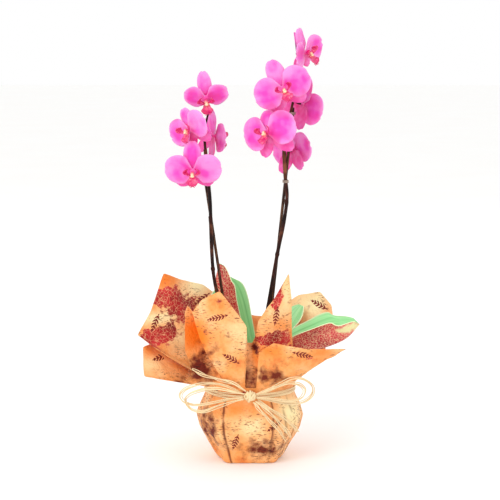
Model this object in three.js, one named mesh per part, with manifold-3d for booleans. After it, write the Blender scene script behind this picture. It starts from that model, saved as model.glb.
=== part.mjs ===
// Moth orchid with two flower spikes, in a plastic pot wrapped in printed paper and tied with raffia.
// Millimetres, +Z up, the front faces -Y, and the origin is the middle of the wrapped base.
import * as THREE from 'three';
import { mergeVertices } from 'three/addons/utils/BufferGeometryUtils.js';
import Module from 'manifold-3d';

const wasm = await Module();
wasm.setup();

// Driving sizes
const GAP = 0.3;
const PAPER = 0.8;
const POT = { foot: 41.5, top: 56.4, rim: 57.9, floorZ: 2.2, rimZ: 95, topZ: 101, wall: 1.4 };
const WAIST = { z: 94.5, radius: 62.5, shoulderZ: 106 };
const BARK = { bottomZ: 4.5, topZ: 90 };
const STEM = { radius: 2.7, rachis: 1.9, sides: 7 };
const STAKE = { radius: 2.1, sides: 8 };
const PEDICEL = { radius: 1.3, sides: 5 };
const HUB = 4.2;
const BLADE = 0.8;
const PETAL = { length: 43, width: 47 };
const DORSAL = { length: 44, width: 27 };
const LATERAL = { length: 39, width: 24 };
const LIP = { length: 17, width: 14 };
const RAFFIA = { radius: 1.2, sides: 8 };

const COLOURS = {
  petal: 0xf45fd0,
  lip: 0xd81b7a,
  stem: 0x2a1210,
  stake: 0x22140f,
  leaf: 0x86c67c,
  bark: 0x5a3a24,
  pot: 0x3b3b3b,
  outerPaper: 0xf2a45c,
  innerPaper: 0xe98a6a,
  raffia: 0xf0dcae,
  clip: 0xe8e8e0,
};

const part = new THREE.Group();

function material(colour, roughness) {
  return new THREE.MeshStandardMaterial({ color: colour, roughness, metalness: 0 });
}

function vector(values) {
  return new THREE.Vector3(values[0], values[1], values[2]);
}

function radians(degrees) {
  return THREE.MathUtils.degToRad(degrees);
}

function addPiece(parent, name, geometry, finish) {
  const piece = new THREE.Mesh(geometry, finish);
  piece.name = name;
  parent.add(piece);
  return piece;
}

// Joining and cutting
function toSolid(geometry) {
  const bare = geometry.clone();
  bare.deleteAttribute('normal');
  bare.deleteAttribute('uv');
  const merged = mergeVertices(bare);
  return new wasm.Manifold(new wasm.Mesh({
    numProp: 3,
    vertProperties: new Float32Array(merged.attributes.position.array),
    triVerts: new Uint32Array(merged.index.array),
  }));
}

function toGeometry(whole) {
  const mesh = whole.getMesh();
  const geometry = new THREE.BufferGeometry();
  geometry.setAttribute('position', new THREE.BufferAttribute(mesh.vertProperties, 3));
  geometry.setIndex(new THREE.BufferAttribute(mesh.triVerts, 1));
  geometry.computeVertexNormals();
  return geometry;
}

function fuse(geometries) {
  return toGeometry(geometries.map(toSolid).reduce((whole, next) => whole.add(next)));
}

function cut(geometry, tools) {
  return toGeometry(tools.map(toSolid).reduce((whole, next) => whole.subtract(next), toSolid(geometry)));
}

// A round rod swept along a smooth curve
function tube(curve, radius, sides, steps) {
  const section = [];
  for (let side = 0; side < sides; side += 1) {
    const angle = (side / sides) * Math.PI * 2;
    section.push(new THREE.Vector2(Math.cos(angle) * radius, Math.sin(angle) * radius));
  }
  return new THREE.ExtrudeGeometry(new THREE.Shape(section), { steps, bevelEnabled: false, extrudePath: curve });
}

function smoothCurve(points) {
  return new THREE.CatmullRomCurve3(points.map(vector));
}

// The unit normals of a grid of points; a closed grid joins its last column to its first
function gridNormals(rows, closed) {
  return rows.map((row, j) => row.map((point, i) => {
    const last = row.length - 1;
    const before = closed ? row[(i + last) % row.length] : row[Math.max(i - 1, 0)];
    const after = closed ? row[(i + 1) % row.length] : row[Math.min(i + 1, last)];
    const below = rows[Math.max(j - 1, 0)][i];
    const above = rows[Math.min(j + 1, rows.length - 1)][i];
    const across = new THREE.Vector3().subVectors(after, before);
    const along = new THREE.Vector3().subVectors(above, below);
    return across.cross(along).normalize();
  }));
}

function indexed(points, triangles) {
  const geometry = new THREE.BufferGeometry();
  geometry.setAttribute('position', new THREE.Float32BufferAttribute(points.flatMap((p) => p.toArray()), 3));
  geometry.setIndex(triangles);
  return geometry;
}

// A thin plate that follows a grid of points, split alike on both faces
function blade(rows, thickness) {
  const normals = gridNormals(rows, false);
  const wide = rows[0].length;
  const half = thickness / 2;
  const front = rows.flatMap((row, j) => row.map((p, i) => p.clone().addScaledVector(normals[j][i], half)));
  const back = rows.flatMap((row, j) => row.map((p, i) => p.clone().addScaledVector(normals[j][i], -half)));
  const count = front.length;
  const triangles = [];
  for (let j = 0; j < rows.length - 1; j += 1) {
    for (let i = 0; i < wide - 1; i += 1) {
      const a = j * wide + i;
      const b = a + 1;
      const c = a + wide + 1;
      const d = a + wide;
      triangles.push(a, b, c, a, c, d);
      triangles.push(count + a, count + c, count + b, count + a, count + d, count + c);
    }
  }
  const rim = [];
  for (let i = 0; i < wide; i += 1) rim.push(i);
  for (let j = 1; j < rows.length; j += 1) rim.push(j * wide + wide - 1);
  for (let i = wide - 2; i >= 0; i -= 1) rim.push((rows.length - 1) * wide + i);
  for (let j = rows.length - 2; j > 0; j -= 1) rim.push(j * wide);
  rim.forEach((from, k) => {
    const to = rim[(k + 1) % rim.length];
    triangles.push(from, count + from, to, to, count + from, count + to);
  });
  return indexed([...front, ...back], triangles);
}

// Blooms
// A petal or sepal grows along +X from the middle of the bloom, whose face looks along -Y.
function tepal({ length, width, lean, camber, across, along }) {
  const rows = [];
  for (let j = 0; j <= along; j += 1) {
    const u = 0.02 + 0.96 * (1 - Math.cos((j / along) * Math.PI)) / 2;
    const claw = Math.min(1, 0.45 + 2.2 * u);
    const half = Math.max((width / 2) * Math.sqrt(1 - (2 * u - 1) ** 2) * claw, 1.2);
    const row = [];
    for (let i = 0; i <= across; i += 1) {
      const v = -1 + (2 * i) / across;
      const hollow = camber * v * v * Math.sin(Math.PI * u);
      const lift = -Math.tan(radians(lean)) * u * length;
      row.push(new THREE.Vector3(u * length, lift + hollow, v * half));
    }
    rows.push(row);
  }
  return blade(rows, BLADE);
}

function aroundFace(geometry, clock, depth) {
  return geometry.rotateY(-radians(clock)).translate(0, depth, 0);
}

function bloomPetals({ cup, size = 1, dorsal: dorsalLength = DORSAL.length }) {
  const sized = ({ length, width }) => ({ length: length * size, width: width * size });
  const petal = { ...sized(PETAL), lean: cup, camber: 1.2, across: 4, along: 5 };
  const sepalLean = Math.min(cup, 0) - 6;
  const dorsal = {
    ...sized({ ...DORSAL, length: dorsalLength }), lean: sepalLean, camber: 1.5, across: 2, along: 4,
  };
  const lateral = { ...sized(LATERAL), lean: sepalLean - 3, camber: 1.5, across: 2, along: 4 };
  return fuse([
    new THREE.SphereGeometry(HUB, 6, 4),
    aroundFace(tepal(dorsal), 90, 1.6),
    aroundFace(tepal(lateral), -50, 2.2),
    aroundFace(tepal(lateral), -130, 2.2),
    aroundFace(tepal(petal), 6, -1.4),
    aroundFace(tepal(petal), 174, -1.4),
  ]);
}

// The lip: a forward tongue, two upright side lobes and the column over them
function bloomLip() {
  const front = -(HUB + GAP);
  const tongue = [];
  const widths = [0.35, 0.6, 1, 0.75, 0.2];
  widths.forEach((share, j) => {
    const u = j / (widths.length - 1);
    const y = front - 2 - Math.sin(u * 1.9) * LIP.length * 0.62;
    const z = -3 - u * LIP.length * 0.75;
    tongue.push([-1, 0, 1].map((v) => new THREE.Vector3(v * share * LIP.width / 2, y + v * v * -1.5, z)));
  });
  const lobe = (side) => {
    const rows = [];
    for (let j = 0; j <= 3; j += 1) {
      const u = j / 3;
      const reach = 3 + 4 * Math.sin(u * Math.PI * 0.8);
      const y = front - 2.5 - u * 3;
      const x = side * (2 + 6 * Math.sin(u * 2.4));
      const z = -4 + u * 11;
      rows.push([new THREE.Vector3(x, y + reach * 0.2, z), new THREE.Vector3(x, y - reach, z)]);
    }
    return blade(rows, BLADE);
  };
  const column = new THREE.CylinderGeometry(2, 2.6, 8, 6);
  column.rotateX(radians(15)).translate(0, front - 4.3, 0.5);
  return fuse([
    new THREE.SphereGeometry(3.4, 5, 3).translate(0, front - 3.7, -3),
    column,
    blade(tongue, BLADE),
    lobe(1),
    lobe(-1),
  ]);
}

// Where each bloom sits: its middle, turn to the right, nod, tilt to the left, forward cup of the petals,
// size beside a full bloom and the length of its upper sepal where that differs
const BLOOMS = {
  left_1: {
    at: [-60, -18, 508], turn: 2, nod: 36, tilt: 8, cup: -12, size: 0.72, dorsal: 50, stemZ: 484, arch: 34,
  },
  left_2: { at: [-82, -30, 466], turn: -38, nod: 12, tilt: 24, cup: 4, size: 0.84, dorsal: 36, stemZ: 470 },
  left_3: { at: [-78, -38, 409], turn: -4, nod: 20, tilt: 2, cup: -8, size: 0.92, stemZ: 424 },
  left_4: { at: [-50, 21, 453], turn: 120, nod: 4, tilt: 10, cup: -4, size: 0.86, stemZ: 450 },
  right_1: { at: [75, -6, 569], turn: 56, nod: 4, tilt: 18, cup: 12, size: 0.8, stemZ: 568 },
  right_2: { at: [45, -38, 521], turn: 6, nod: 6, tilt: 25, cup: -6, size: 0.95, stemZ: 530 },
  right_3: { at: [24, -37, 462], turn: -32, nod: 0, tilt: 15, cup: -10, dorsal: 31, stemZ: 482 },
  right_4: { at: [73, 20, 498], turn: 140, nod: 4, tilt: 26, cup: -6, size: 0.95, stemZ: 506 },
  right_5: { at: [61, 22, 433], turn: 134, nod: -6, tilt: -12, cup: -6, size: 0.9, stemZ: 444 },
};

function bloomTurn(bloom) {
  const turn = new THREE.Matrix4().makeRotationZ(radians(bloom.turn));
  const nod = new THREE.Matrix4().makeRotationX(radians(bloom.nod));
  const tilt = new THREE.Matrix4().makeRotationY(-radians(bloom.tilt));
  return turn.multiply(nod).multiply(tilt);
}

function bloomFacing(bloom) {
  return new THREE.Vector3(0, -1, 0).transformDirection(bloomTurn(bloom));
}

function buildBlooms() {
  const petalFinish = material(COLOURS.petal, 0.6);
  const lipFinish = material(COLOURS.lip, 0.5);
  for (const [name, bloom] of Object.entries(BLOOMS)) {
    const holder = new THREE.Group();
    holder.position.copy(vector(bloom.at));
    holder.quaternion.setFromRotationMatrix(bloomTurn(bloom));
    addPiece(holder, `petals_${name}`, bloomPetals(bloom), petalFinish);
    addPiece(holder, `lip_${name}`, bloomLip(), lipFinish);
    part.add(holder);
  }
}

// Flower spikes, each wound round its stake
const SPIKES = {
  left: {
    stem: [[-9, -1, 76], [-14, -1, 111], [-28, -2, 166], [-42, -2.5, 217], [-51, -3, 260], [-54.5, -5, 330],
      [-55.5, -5, 366], [-58.8, -4, 400], [-62, 0, 436]],
    rachis: [[-61.5, -0.5, 430], [-63, 2, 455], [-61, 2, 472], [-57.5, 1, 487]],
    stake: [[-14, 9, 60], [-63.5, 0, 402]],
  },
  right: {
    stem: [[9, -2, 76], [11, -2, 111], [17, -2, 159], [24, -3, 205], [33, -6, 262], [40, -7, 300],
      [48, -6, 340], [51.5, -6, 372], [49, -7, 398], [47, -5, 436]],
    rachis: [[47, -5, 430], [50, -5.5, 458], [56, -5.5, 487], [63, -2, 520], [66, 2, 555], [63, 2, 584],
      [61, 2, 597]],
    stake: [[14.5, -4, 60], [30, -2, 210], [60, 0, 494]],
  },
};

function pointAtHeight(curve, z) {
  const samples = curve.getPoints(120);
  return samples.reduce((best, p) => (Math.abs(p.z - z) < Math.abs(best.z - z) ? p : best));
}

// A flower stalk leaves the spike and comes up behind its bloom along the way the bloom faces
function pedicel(rachis, bloom) {
  const facing = bloomFacing(bloom);
  const middle = vector(bloom.at);
  const end = middle.clone().addScaledVector(facing, -(HUB + GAP));
  const bend = middle.clone().addScaledVector(facing, -(HUB + (bloom.arch ?? 12)));
  const start = pointAtHeight(rachis, bloom.stemZ);
  return tube(new THREE.QuadraticBezierCurve3(start, bend, end), PEDICEL.radius, PEDICEL.sides, 4);
}

function buildSpikes() {
  const stemFinish = material(COLOURS.stem, 0.5);
  const stakeFinish = material(COLOURS.stake, 0.6);
  for (const [side, spike] of Object.entries(SPIKES)) {
    const stem = smoothCurve(spike.stem);
    const rachis = smoothCurve(spike.rachis);
    const whole = smoothCurve([...spike.stem.slice(0, -1), ...spike.rachis.slice(1)]);
    const blooms = Object.keys(BLOOMS).filter((name) => name.startsWith(side));
    const stalks = blooms.map((name) => pedicel(whole, BLOOMS[name]));
    const pieces = [
      tube(stem, STEM.radius, STEM.sides, 18),
      tube(rachis, STEM.rachis, STEM.sides, 8),
      ...stalks,
    ];
    addPiece(part, `flower_spike_${side}`, fuse(pieces), stemFinish);
    const stakeSteps = (spike.stake.length - 1) * 4;
    addPiece(part, `stake_${side}`, tube(smoothCurve(spike.stake), STAKE.radius, STAKE.sides, stakeSteps),
      stakeFinish);
  }
}

// A soft clip holds the stem against its stake: a flat loop round both
const CLIPS = { left_top: ['left', 392], right_middle: ['right', 392], right_top: ['right', 486] };

function buildClips() {
  const finish = material(COLOURS.clip, 0.4);
  const wall = 0.9;
  const height = 3.5;
  for (const [name, [side, z]] of Object.entries(CLIPS)) {
    const spike = SPIKES[side];
    const stemPath = z < 430 ? spike.stem : spike.rachis;
    const stem = pointAtHeight(smoothCurve(stemPath), z);
    const stake = pointAtHeight(smoothCurve(spike.stake), z);
    const reach = Math.hypot(stake.x - stem.x, stake.y - stem.y);
    const inside = Math.max(STEM.radius, STAKE.radius) + GAP + 0.3;
    const loop = (radius, path) => {
      path.absarc(0, 0, radius, Math.PI / 2, -Math.PI / 2, false);
      path.absarc(reach, 0, radius, -Math.PI / 2, Math.PI / 2, false);
      return path;
    };
    const outline = loop(inside + wall, new THREE.Shape());
    outline.holes.push(loop(inside, new THREE.Path()));
    const band = new THREE.ExtrudeGeometry(outline, { depth: height, bevelEnabled: false, curveSegments: 4 });
    const piece = addPiece(part, `stem_clip_${name}`, band, finish);
    piece.position.set(stem.x, stem.y, z - height / 2);
    piece.rotation.z = Math.atan2(stake.y - stem.y, stake.x - stem.x);
  }
}

// Leaves: each is folded along its midrib, and its near and far halves open away from the keel.
// A half's tip value widens it towards the leaf's tip, or narrows it there when it is below 0
const LEAVES = [
  { midrib: [[2, 22, 96], [-13, 28, 149], [-33, 30, 195], [-45, 30, 228], [-48, 28, 250], [-43, 25, 272]],
    near: [0.75, -0.66, 0], nearHalf: 32, nearTip: 0.4, far: [0.97, 0.24, 0], farHalf: 46, farTip: -0.7 },
  { midrib: [[12, 19, 98], [36, 13, 132], [70, 4, 147], [105, 0, 156], [136, -1, 170], [154, -2, 190]],
    near: [0, -0.62, 0.78], nearHalf: 43, nearTip: 0.3, far: [0, 0.3, 0.95], farHalf: 43, farTip: 0.2 },
  { midrib: [[-2, 26, 96], [-16, 42, 140], [-30, 56, 178], [-38, 66, 210], [-40, 74, 232]],
    near: [-0.7, -0.3, 0.65], nearHalf: 27, far: [0.7, -0.3, 0.65], farHalf: 27 },
  { midrib: [[10, 26, 96], [26, 40, 130], [46, 52, 158], [64, 60, 182], [76, 66, 204]],
    near: [-0.6, 0.5, 0.6], nearHalf: 26, far: [0.5, -0.6, 0.6], farHalf: 26 },
];
const CROWN = { x: 5, y: 22, radius: 10, bottomZ: 80, topZ: 106 };

function leafBlade({ midrib, near, nearHalf, nearTip = 0, far, farHalf, farTip = 0 }) {
  const curve = smoothCurve(midrib);
  const rows = [];
  const along = 8;
  for (let j = 0; j <= along; j += 1) {
    const u = j / along;
    const middle = curve.getPoint(u);
    const tangent = curve.getTangent(u);
    const width = Math.sin(Math.PI * (0.05 + 0.93 * u) ** 1.5) ** 0.65;
    const wing = (direction, reach, tip) => {
      const side = vector(direction);
      side.addScaledVector(tangent, -side.dot(tangent)).normalize();
      return middle.clone().addScaledVector(side, reach * width * (1 + tip * u ** 3));
    };
    rows.push([
      wing(near, nearHalf, nearTip), wing(near, nearHalf / 2, nearTip), middle,
      wing(far, farHalf / 2, farTip), wing(far, farHalf, farTip),
    ]);
  }
  return blade(rows, 1.4);
}

function buildRosette() {
  const crown = new THREE.CylinderGeometry(CROWN.radius, CROWN.radius * 0.7, CROWN.topZ - CROWN.bottomZ, 10);
  crown.rotateX(Math.PI / 2).translate(CROWN.x, CROWN.y, (CROWN.topZ + CROWN.bottomZ) / 2);
  addPiece(part, 'leaf_rosette', fuse([crown, ...LEAVES.map(leafBlade)]), material(COLOURS.leaf, 0.45));
}

// Plastic growing pot with drainage holes, and the bark in it
function buildPot() {
  const profile = [[0, POT.floorZ], [POT.foot, POT.floorZ], [POT.top, POT.rimZ], [POT.rim, POT.rimZ],
    [POT.rim, POT.topZ], [POT.top - POT.wall, POT.topZ], [POT.foot - POT.wall, POT.floorZ + 2],
    [0, POT.floorZ + 2]];
  const wall = new THREE.LatheGeometry(profile.map(([r, z]) => new THREE.Vector2(r, z)), 24);
  wall.rotateX(Math.PI / 2);
  const drains = [0, 1, 2, 3, 4].map((k) => {
    const angle = (k / 5) * Math.PI * 2;
    const drain = new THREE.CylinderGeometry(3.5, 3.5, 8, 8);
    return drain.rotateX(Math.PI / 2).translate(Math.cos(angle) * 26, Math.sin(angle) * 26, POT.floorZ + 1);
  });
  addPiece(part, 'growing_pot', cut(wall, drains), material(COLOURS.pot, 0.5));
}

function barkTop(angle, share) {
  const chips = Math.sin(angle * 7 + share * 9) + Math.sin(angle * 11 - share * 14) * 0.8;
  return BARK.topZ + chips * 1.6 * Math.sin(share * Math.PI) + 3 * (1 - share);
}

function buildBark() {
  const sides = 24;
  const rings = 5;
  const insideFloorZ = POT.floorZ + 2;
  const widening = (POT.top - POT.foot) / (POT.topZ - insideFloorZ);
  const barkRadius = (z) => POT.foot - POT.wall + widening * (z - insideFloorZ) - GAP - 0.3;
  const points = [new THREE.Vector3(0, 0, BARK.bottomZ), new THREE.Vector3(0, 0, BARK.topZ + 3)];
  const ring = (radius, height) => {
    for (let k = 0; k < sides; k += 1) {
      const angle = (k / sides) * Math.PI * 2;
      points.push(new THREE.Vector3(Math.cos(angle) * radius, Math.sin(angle) * radius, height(angle)));
    }
  };
  ring(barkRadius(BARK.bottomZ), () => BARK.bottomZ);
  for (let r = rings; r > 0; r -= 1) {
    const share = r / rings;
    ring(barkRadius(BARK.topZ - 3) * share, (angle) => barkTop(angle, share));
  }
  const triangles = [];
  for (let k = 0; k < sides; k += 1) {
    const next = (k + 1) % sides;
    triangles.push(0, 2 + next, 2 + k);
    for (let r = 0; r < rings; r += 1) {
      const low = 2 + r * sides;
      const high = low + sides;
      triangles.push(low + k, low + next, high + next, low + k, high + next, high + k);
    }
    const top = 2 + rings * sides;
    triangles.push(top + k, top + next, 1);
  }
  const holes = Object.values(SPIKES).flatMap((spike) => [
    tube(smoothCurve(spike.stem.slice(0, 3)), STEM.radius + GAP, STEM.sides, 8),
    tube(smoothCurve(spike.stake), STAKE.radius + GAP, STAKE.sides, 4),
  ]);
  const seat = new THREE.CylinderGeometry(CROWN.radius + GAP + 1.5, CROWN.radius * 0.7 + GAP + 1, 30, 12);
  holes.push(seat.rotateX(Math.PI / 2).translate(CROWN.x, CROWN.y, CROWN.bottomZ + 14.7));
  addPiece(part, 'bark_medium', cut(indexed(points, triangles), holes), material(COLOURS.bark, 0.95));
}

// Paper sheets
// Each sheet runs under the pot, up its side to the tie, and flares above it in peaks and folds.
// A level of the lower part is its height, its radius, how far forward the flat front panel lies
// and the half angle of that panel.
const OUTER_LEVELS = [
  [0.4, 46, 45.5, 36], [22, 57, 52, 34], [45, 71, 61, 31], [62, 75, 63, 29], [84, 67, 63, 26],
  [WAIST.z, WAIST.radius, 61.5, 10], [WAIST.shoulderZ, WAIST.radius, 61.5, 10],
];
const INNER_LEVELS = [
  [1.5, 43.2, 43.2, 1], [50, 51.5, 51.5, 1], [WAIST.z, 60.2, 60.2, 1], [WAIST.shoulderZ, 60.3, 60.3, 1],
];

// A fold is its angle round the pot from the front, its rim point and how far its middle bows out
const OUTER_FOLDS = [
  [8, [9, -64.5, 112], 0], [12, [12, -65, 163], 3], [24, [32, -71, 177], 5], [38, [75, -79, 170], 3],
  [50, [136, -74, 171], -4], [60, [104, -52, 152], -5], [70, [72, -31, 137], -2], [84, [69, -8, 122], 0],
  [100, [112, 30, 150], -6], [120, [98, 70, 168], -4], [140, [64, 100, 148], -8], [160, [24, 118, 166], -4],
  [180, [-14, 110, 144], -8], [200, [-50, 112, 164], -4], [220, [-84, 84, 146], -8],
  [240, [-112, 56, 160], -4], [258, [-134, 8, 166], -6], [272, [-154, -20, 163], -4],
  [288, [-151, -50, 125], -4], [300, [-94, -46, 115], -1], [307, [-80, -60, 134], 0],
  [313, [-91, -60, 166], -2], [320, [-92, -64, 221], -12], [327, [-86, -62, 228], -17],
  [334, [-80, -70, 224], 15], [341, [-66, -76, 238], 14], [348, [-41, -80, 251], 12],
  [351, [-4, -75, 201], 6], [353, [-7, -64.5, 112], 0],
];
const INNER_FOLDS = [
  [4, [3, -54, 174], 0], [9, [8, -57, 186], 2], [17, [11, -60, 205], 3], [26, [21, -61, 221], 3],
  [35, [34, -60, 238], 2], [44, [53, -56, 272], 1], [51, [57, -51, 236], 0], [57, [58, -44, 190], 0],
  [64, [60, -32, 140], 0], [82, [72, -8, 134], 0], [94, [92, 20, 146], -2], [103, [121, 36, 182], -6],
  [114, [118, 52, 208], -4], [130, [102, 76, 224], -2], [146, [72, 92, 216], -2], [165, [22, 102, 182], -4],
  [182, [-10, 101, 186], -4], [202, [-38, 92, 208], -4], [222, [-68, 78, 234], -4],
  [240, [-101, 58, 245], -4], [253, [-124, 40, 257], -4], [267, [-141, 14, 206], -4],
  [281, [-159, -10, 176], -6], [295, [-126, -34, 158], -6], [306, [-68, -36, 122], -1],
  [318, [-38, -41, 112], 0], [332, [-27, -49, 113], 0], [346, [-17, -54, 150], 0], [356, [-5, -54, 174], 0],
];

function panelRadius(level, degrees) {
  const [, radius, front, half] = level;
  const away = Math.abs(degrees > 180 ? degrees - 360 : degrees);
  const corner = front / Math.cos(radians(half));
  if (away < half) return front / Math.cos(radians(away));
  const share = Math.min((away - half) / 24, 1);
  return corner + (radius - corner) * share;
}

function lowerPoint(level, degrees) {
  const radius = panelRadius(level, degrees);
  const angle = radians(degrees);
  return new THREE.Vector3(Math.sin(angle) * radius, -Math.cos(angle) * radius, level[0]);
}

function wrappedSheet(levels, folds, flareRows) {
  const rows = levels.map((level) => folds.map(([degrees]) => lowerPoint(level, degrees)));
  const shoulder = rows[rows.length - 1];
  for (let j = 1; j <= flareRows; j += 1) {
    const t = j / flareRows;
    rows.push(folds.map(([degrees, rim, bow], i) => {
      const point = shoulder[i].clone().lerp(vector(rim), t);
      const outward = new THREE.Vector3(Math.sin(radians(degrees)), -Math.cos(radians(degrees)), 0);
      return point.addScaledVector(outward, bow * Math.sin(Math.PI * t));
    }));
  }
  const normals = gridNormals(rows, true);
  const shift = (side) => rows.map((row, j) => row.map((p, i) => {
    const moved = p.clone().addScaledVector(normals[j][i], (side * PAPER) / 2);
    if (j === 0) moved.z = levels[0][0] - (side * PAPER) / 2;
    return moved;
  }));
  const outside = shift(1).flat();
  const inside = shift(-1).flat();
  const wide = folds.length;
  const count = outside.length;
  const points = [...outside, ...inside];
  const outsideMiddle = points.push(new THREE.Vector3(0, 0, levels[0][0] - PAPER / 2)) - 1;
  const insideMiddle = points.push(new THREE.Vector3(0, 0, levels[0][0] + PAPER / 2)) - 1;
  const triangles = [];
  for (let i = 0; i < wide; i += 1) {
    const next = (i + 1) % wide;
    triangles.push(outsideMiddle, next, i);
    triangles.push(insideMiddle, count + i, count + next);
    for (let j = 0; j < rows.length - 1; j += 1) {
      const a = j * wide + i;
      const b = j * wide + next;
      const c = b + wide;
      const d = a + wide;
      triangles.push(a, b, c, a, c, d);
      triangles.push(count + a, count + c, count + b, count + a, count + d, count + c);
    }
    const rim = (rows.length - 1) * wide;
    triangles.push(rim + i, rim + next, count + rim + i, rim + next, count + rim + next, count + rim + i);
  }
  return indexed(points, triangles);
}

function buildPaper() {
  addPiece(part, 'outer_paper', wrappedSheet(OUTER_LEVELS, OUTER_FOLDS, 4), material(COLOURS.outerPaper, 0.7));
  addPiece(part, 'inner_paper', wrappedSheet(INNER_LEVELS, INNER_FOLDS, 4), material(COLOURS.innerPaper, 0.7));
}

// Raffia: turns round the waist, a knot in front, and loops and tails that leave the knot.
// A strand is drawn from inside the knot and trimmed back to the knot's surface.
const KNOT = { at: [0, -70.6, 102], half: [9, 4.4, 7] };
const STRANDS = {
  loop_left_1: [[-9.6, -70, 105], [-24, -73, 113], [-45, -69, 119], [-70, -60, 116], [-92, -52, 106],
    [-97, -50, 97], [-90, -50, 88], [-74, -56, 86], [-50, -68, 92], [-26, -73, 99], [-9.8, -72, 100.5]],
  loop_left_2: [[-8.6, -73.5, 106], [-24, -77, 110], [-46, -73, 113], [-68, -64, 109], [-85, -57, 101],
    [-90, -55, 93], [-82, -58.5, 81], [-66, -65, 79], [-44, -74, 89], [-24, -77.5, 96.5], [-8.8, -74.5, 98.5]],
  loop_right_1: [[9.6, -70, 104], [24, -71, 110], [42, -67, 118], [58, -60, 124], [74, -54, 122],
    [86, -50, 112], [87, -48, 101], [80, -48, 92], [66, -55, 88], [46, -66, 91], [26, -71, 96],
    [9.8, -71, 99.5]],
  loop_right_2: [[9.2, -74, 106], [22, -76, 111], [38, -73, 116], [54, -66, 119], [68, -59, 116],
    [76, -55, 107], [72, -56, 97], [58, -65, 94], [40, -74, 97], [24, -77, 100], [9.2, -75, 102.3]],
  tail_right_1: [[8, -70.5, 94.6], [17, -70, 88], [34, -68, 72], [48, -62, 54], [56, -56, 40]],
  tail_right_2: [[5, -70.5, 93.2], [13, -70, 84], [27, -68, 68], [40, -67, 52], [50, -61, 36]],
  tail_right_3: [[11.4, -67.6, 96.2], [24, -68.4, 87], [44, -64, 72], [58, -57, 58], [67, -49, 46]],
  tail_left_1: [[-6, -71, 109.4], [-24, -73, 121], [-46, -70, 127], [-66, -66, 132], [-80, -66, 139]],
};

function buildRaffia() {
  const finish = material(COLOURS.raffia, 0.8);
  const sides = 24;
  const inner = (WAIST.radius + PAPER / 2 + GAP) / Math.cos(Math.PI / sides);
  const bulges = [0, 1.6, 0.9, 1.9, 1, 1.7, 0].map((out, k) => [inner + 0.6 + out, WAIST.z + 1.5 + k * 1.4]);
  const profile = [[inner, bulges[6][1]], [inner, bulges[0][1]], ...bulges, [inner, bulges[6][1]]];
  const band = new THREE.LatheGeometry(profile.map(([r, z]) => new THREE.Vector2(r, z)), sides);
  addPiece(part, 'raffia_band', band.rotateX(Math.PI / 2), finish);
  const knot = new THREE.SphereGeometry(1, 10, 8);
  knot.scale(...KNOT.half).translate(...KNOT.at);
  addPiece(part, 'raffia_knot', knot, finish);
  const grown = new THREE.SphereGeometry(1, 10, 8);
  grown.scale(...KNOT.half.map((size) => size + GAP)).translate(...KNOT.at);
  for (const [name, points] of Object.entries(STRANDS)) {
    const ends = name.startsWith('loop') ? [points[0], points[points.length - 1]] : [points[0]];
    const [first, last] = ends.map((end) => vector(end).lerp(vector(KNOT.at), 0.5).toArray());
    const curve = smoothCurve(last ? [first, ...points, last] : [first, ...points]);
    const steps = Math.round(curve.getLength() / (RAFFIA.radius * 6));
    const strand = tube(curve, RAFFIA.radius, RAFFIA.sides, steps);
    addPiece(part, `raffia_${name}`, cut(strand, [grown]), finish);
  }
}

buildPot();
buildBark();
buildRosette();
buildSpikes();
buildClips();
buildBlooms();
buildPaper();
buildRaffia();

export default part;
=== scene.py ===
"""Moth orchid in a pot wrapped in printed paper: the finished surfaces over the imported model.

Lengths in the tables are millimetres and become metres where a mesh is made. +Z is up and the front
faces -Y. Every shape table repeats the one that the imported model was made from.
"""

import math
import random

import bpy
from mathutils import Matrix, Vector, noise


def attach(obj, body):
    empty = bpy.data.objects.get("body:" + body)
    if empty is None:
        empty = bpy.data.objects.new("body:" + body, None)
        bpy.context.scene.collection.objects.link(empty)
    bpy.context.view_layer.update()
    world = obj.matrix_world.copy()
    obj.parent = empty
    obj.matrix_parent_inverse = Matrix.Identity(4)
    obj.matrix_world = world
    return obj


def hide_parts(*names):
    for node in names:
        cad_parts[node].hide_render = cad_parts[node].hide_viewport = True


bl_info = {
    "name": "Moth Orchid in Wrapped Pot",
    "version": (1, 0, 0),
    "blender": (4, 5, 0),
    "location": "View3D > Sidebar > Orchid",
    "description": "Builds the petals, leaves, stems, folded paper and raffia of a potted moth orchid",
    "category": "Add Mesh",
}

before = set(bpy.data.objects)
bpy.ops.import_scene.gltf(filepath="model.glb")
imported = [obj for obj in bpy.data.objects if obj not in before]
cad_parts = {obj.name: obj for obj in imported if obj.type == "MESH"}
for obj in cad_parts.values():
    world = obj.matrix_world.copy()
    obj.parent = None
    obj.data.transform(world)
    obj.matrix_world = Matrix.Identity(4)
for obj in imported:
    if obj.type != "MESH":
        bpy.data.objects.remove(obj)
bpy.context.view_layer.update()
MM = 0.001


# Colours and lengths

def linear(hex_colour):
    """A linear colour with alpha from an sRGB hex value."""
    channels = [int(hex_colour[i:i + 2], 16) / 255 for i in (0, 2, 4)]
    return [c / 12.92 if c <= 0.04045 else ((c + 0.055) / 1.055) ** 2.4 for c in channels] + [1.0]


def vec(values):
    """A point in millimetres as a vector in metres."""
    return Vector(values) * MM


def blend(start, end, share):
    return start + (end - start) * share


def clamp(value):
    return min(1, max(0, value))


# Tables of the stage

CAMERA = {"at": (0, -2178.6, 601.2), "look": (0, 0, 295), "lens": 113.14, "sensor": 36, "clip_end": 50}
# Each lamp, in metres: its place, size and which setting gives its power
LAMPS = {
    "key_light": {"at": (-1.6, -2.2, 2.0), "size": 1.6, "power": "key_power"},
    "fill_light": {"at": (1.9, -1.8, 1.3), "size": 1.8, "power": "fill_power"},
    "back_light": {"at": (0.3, 2.0, 1.9), "size": 1.6, "power": "fill_power"},
}
LAMPS_AIM = (0, 0, 0.3)
FLOOR = {"size": 30, "height": -0.0002}

# Tables of the plant

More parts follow.
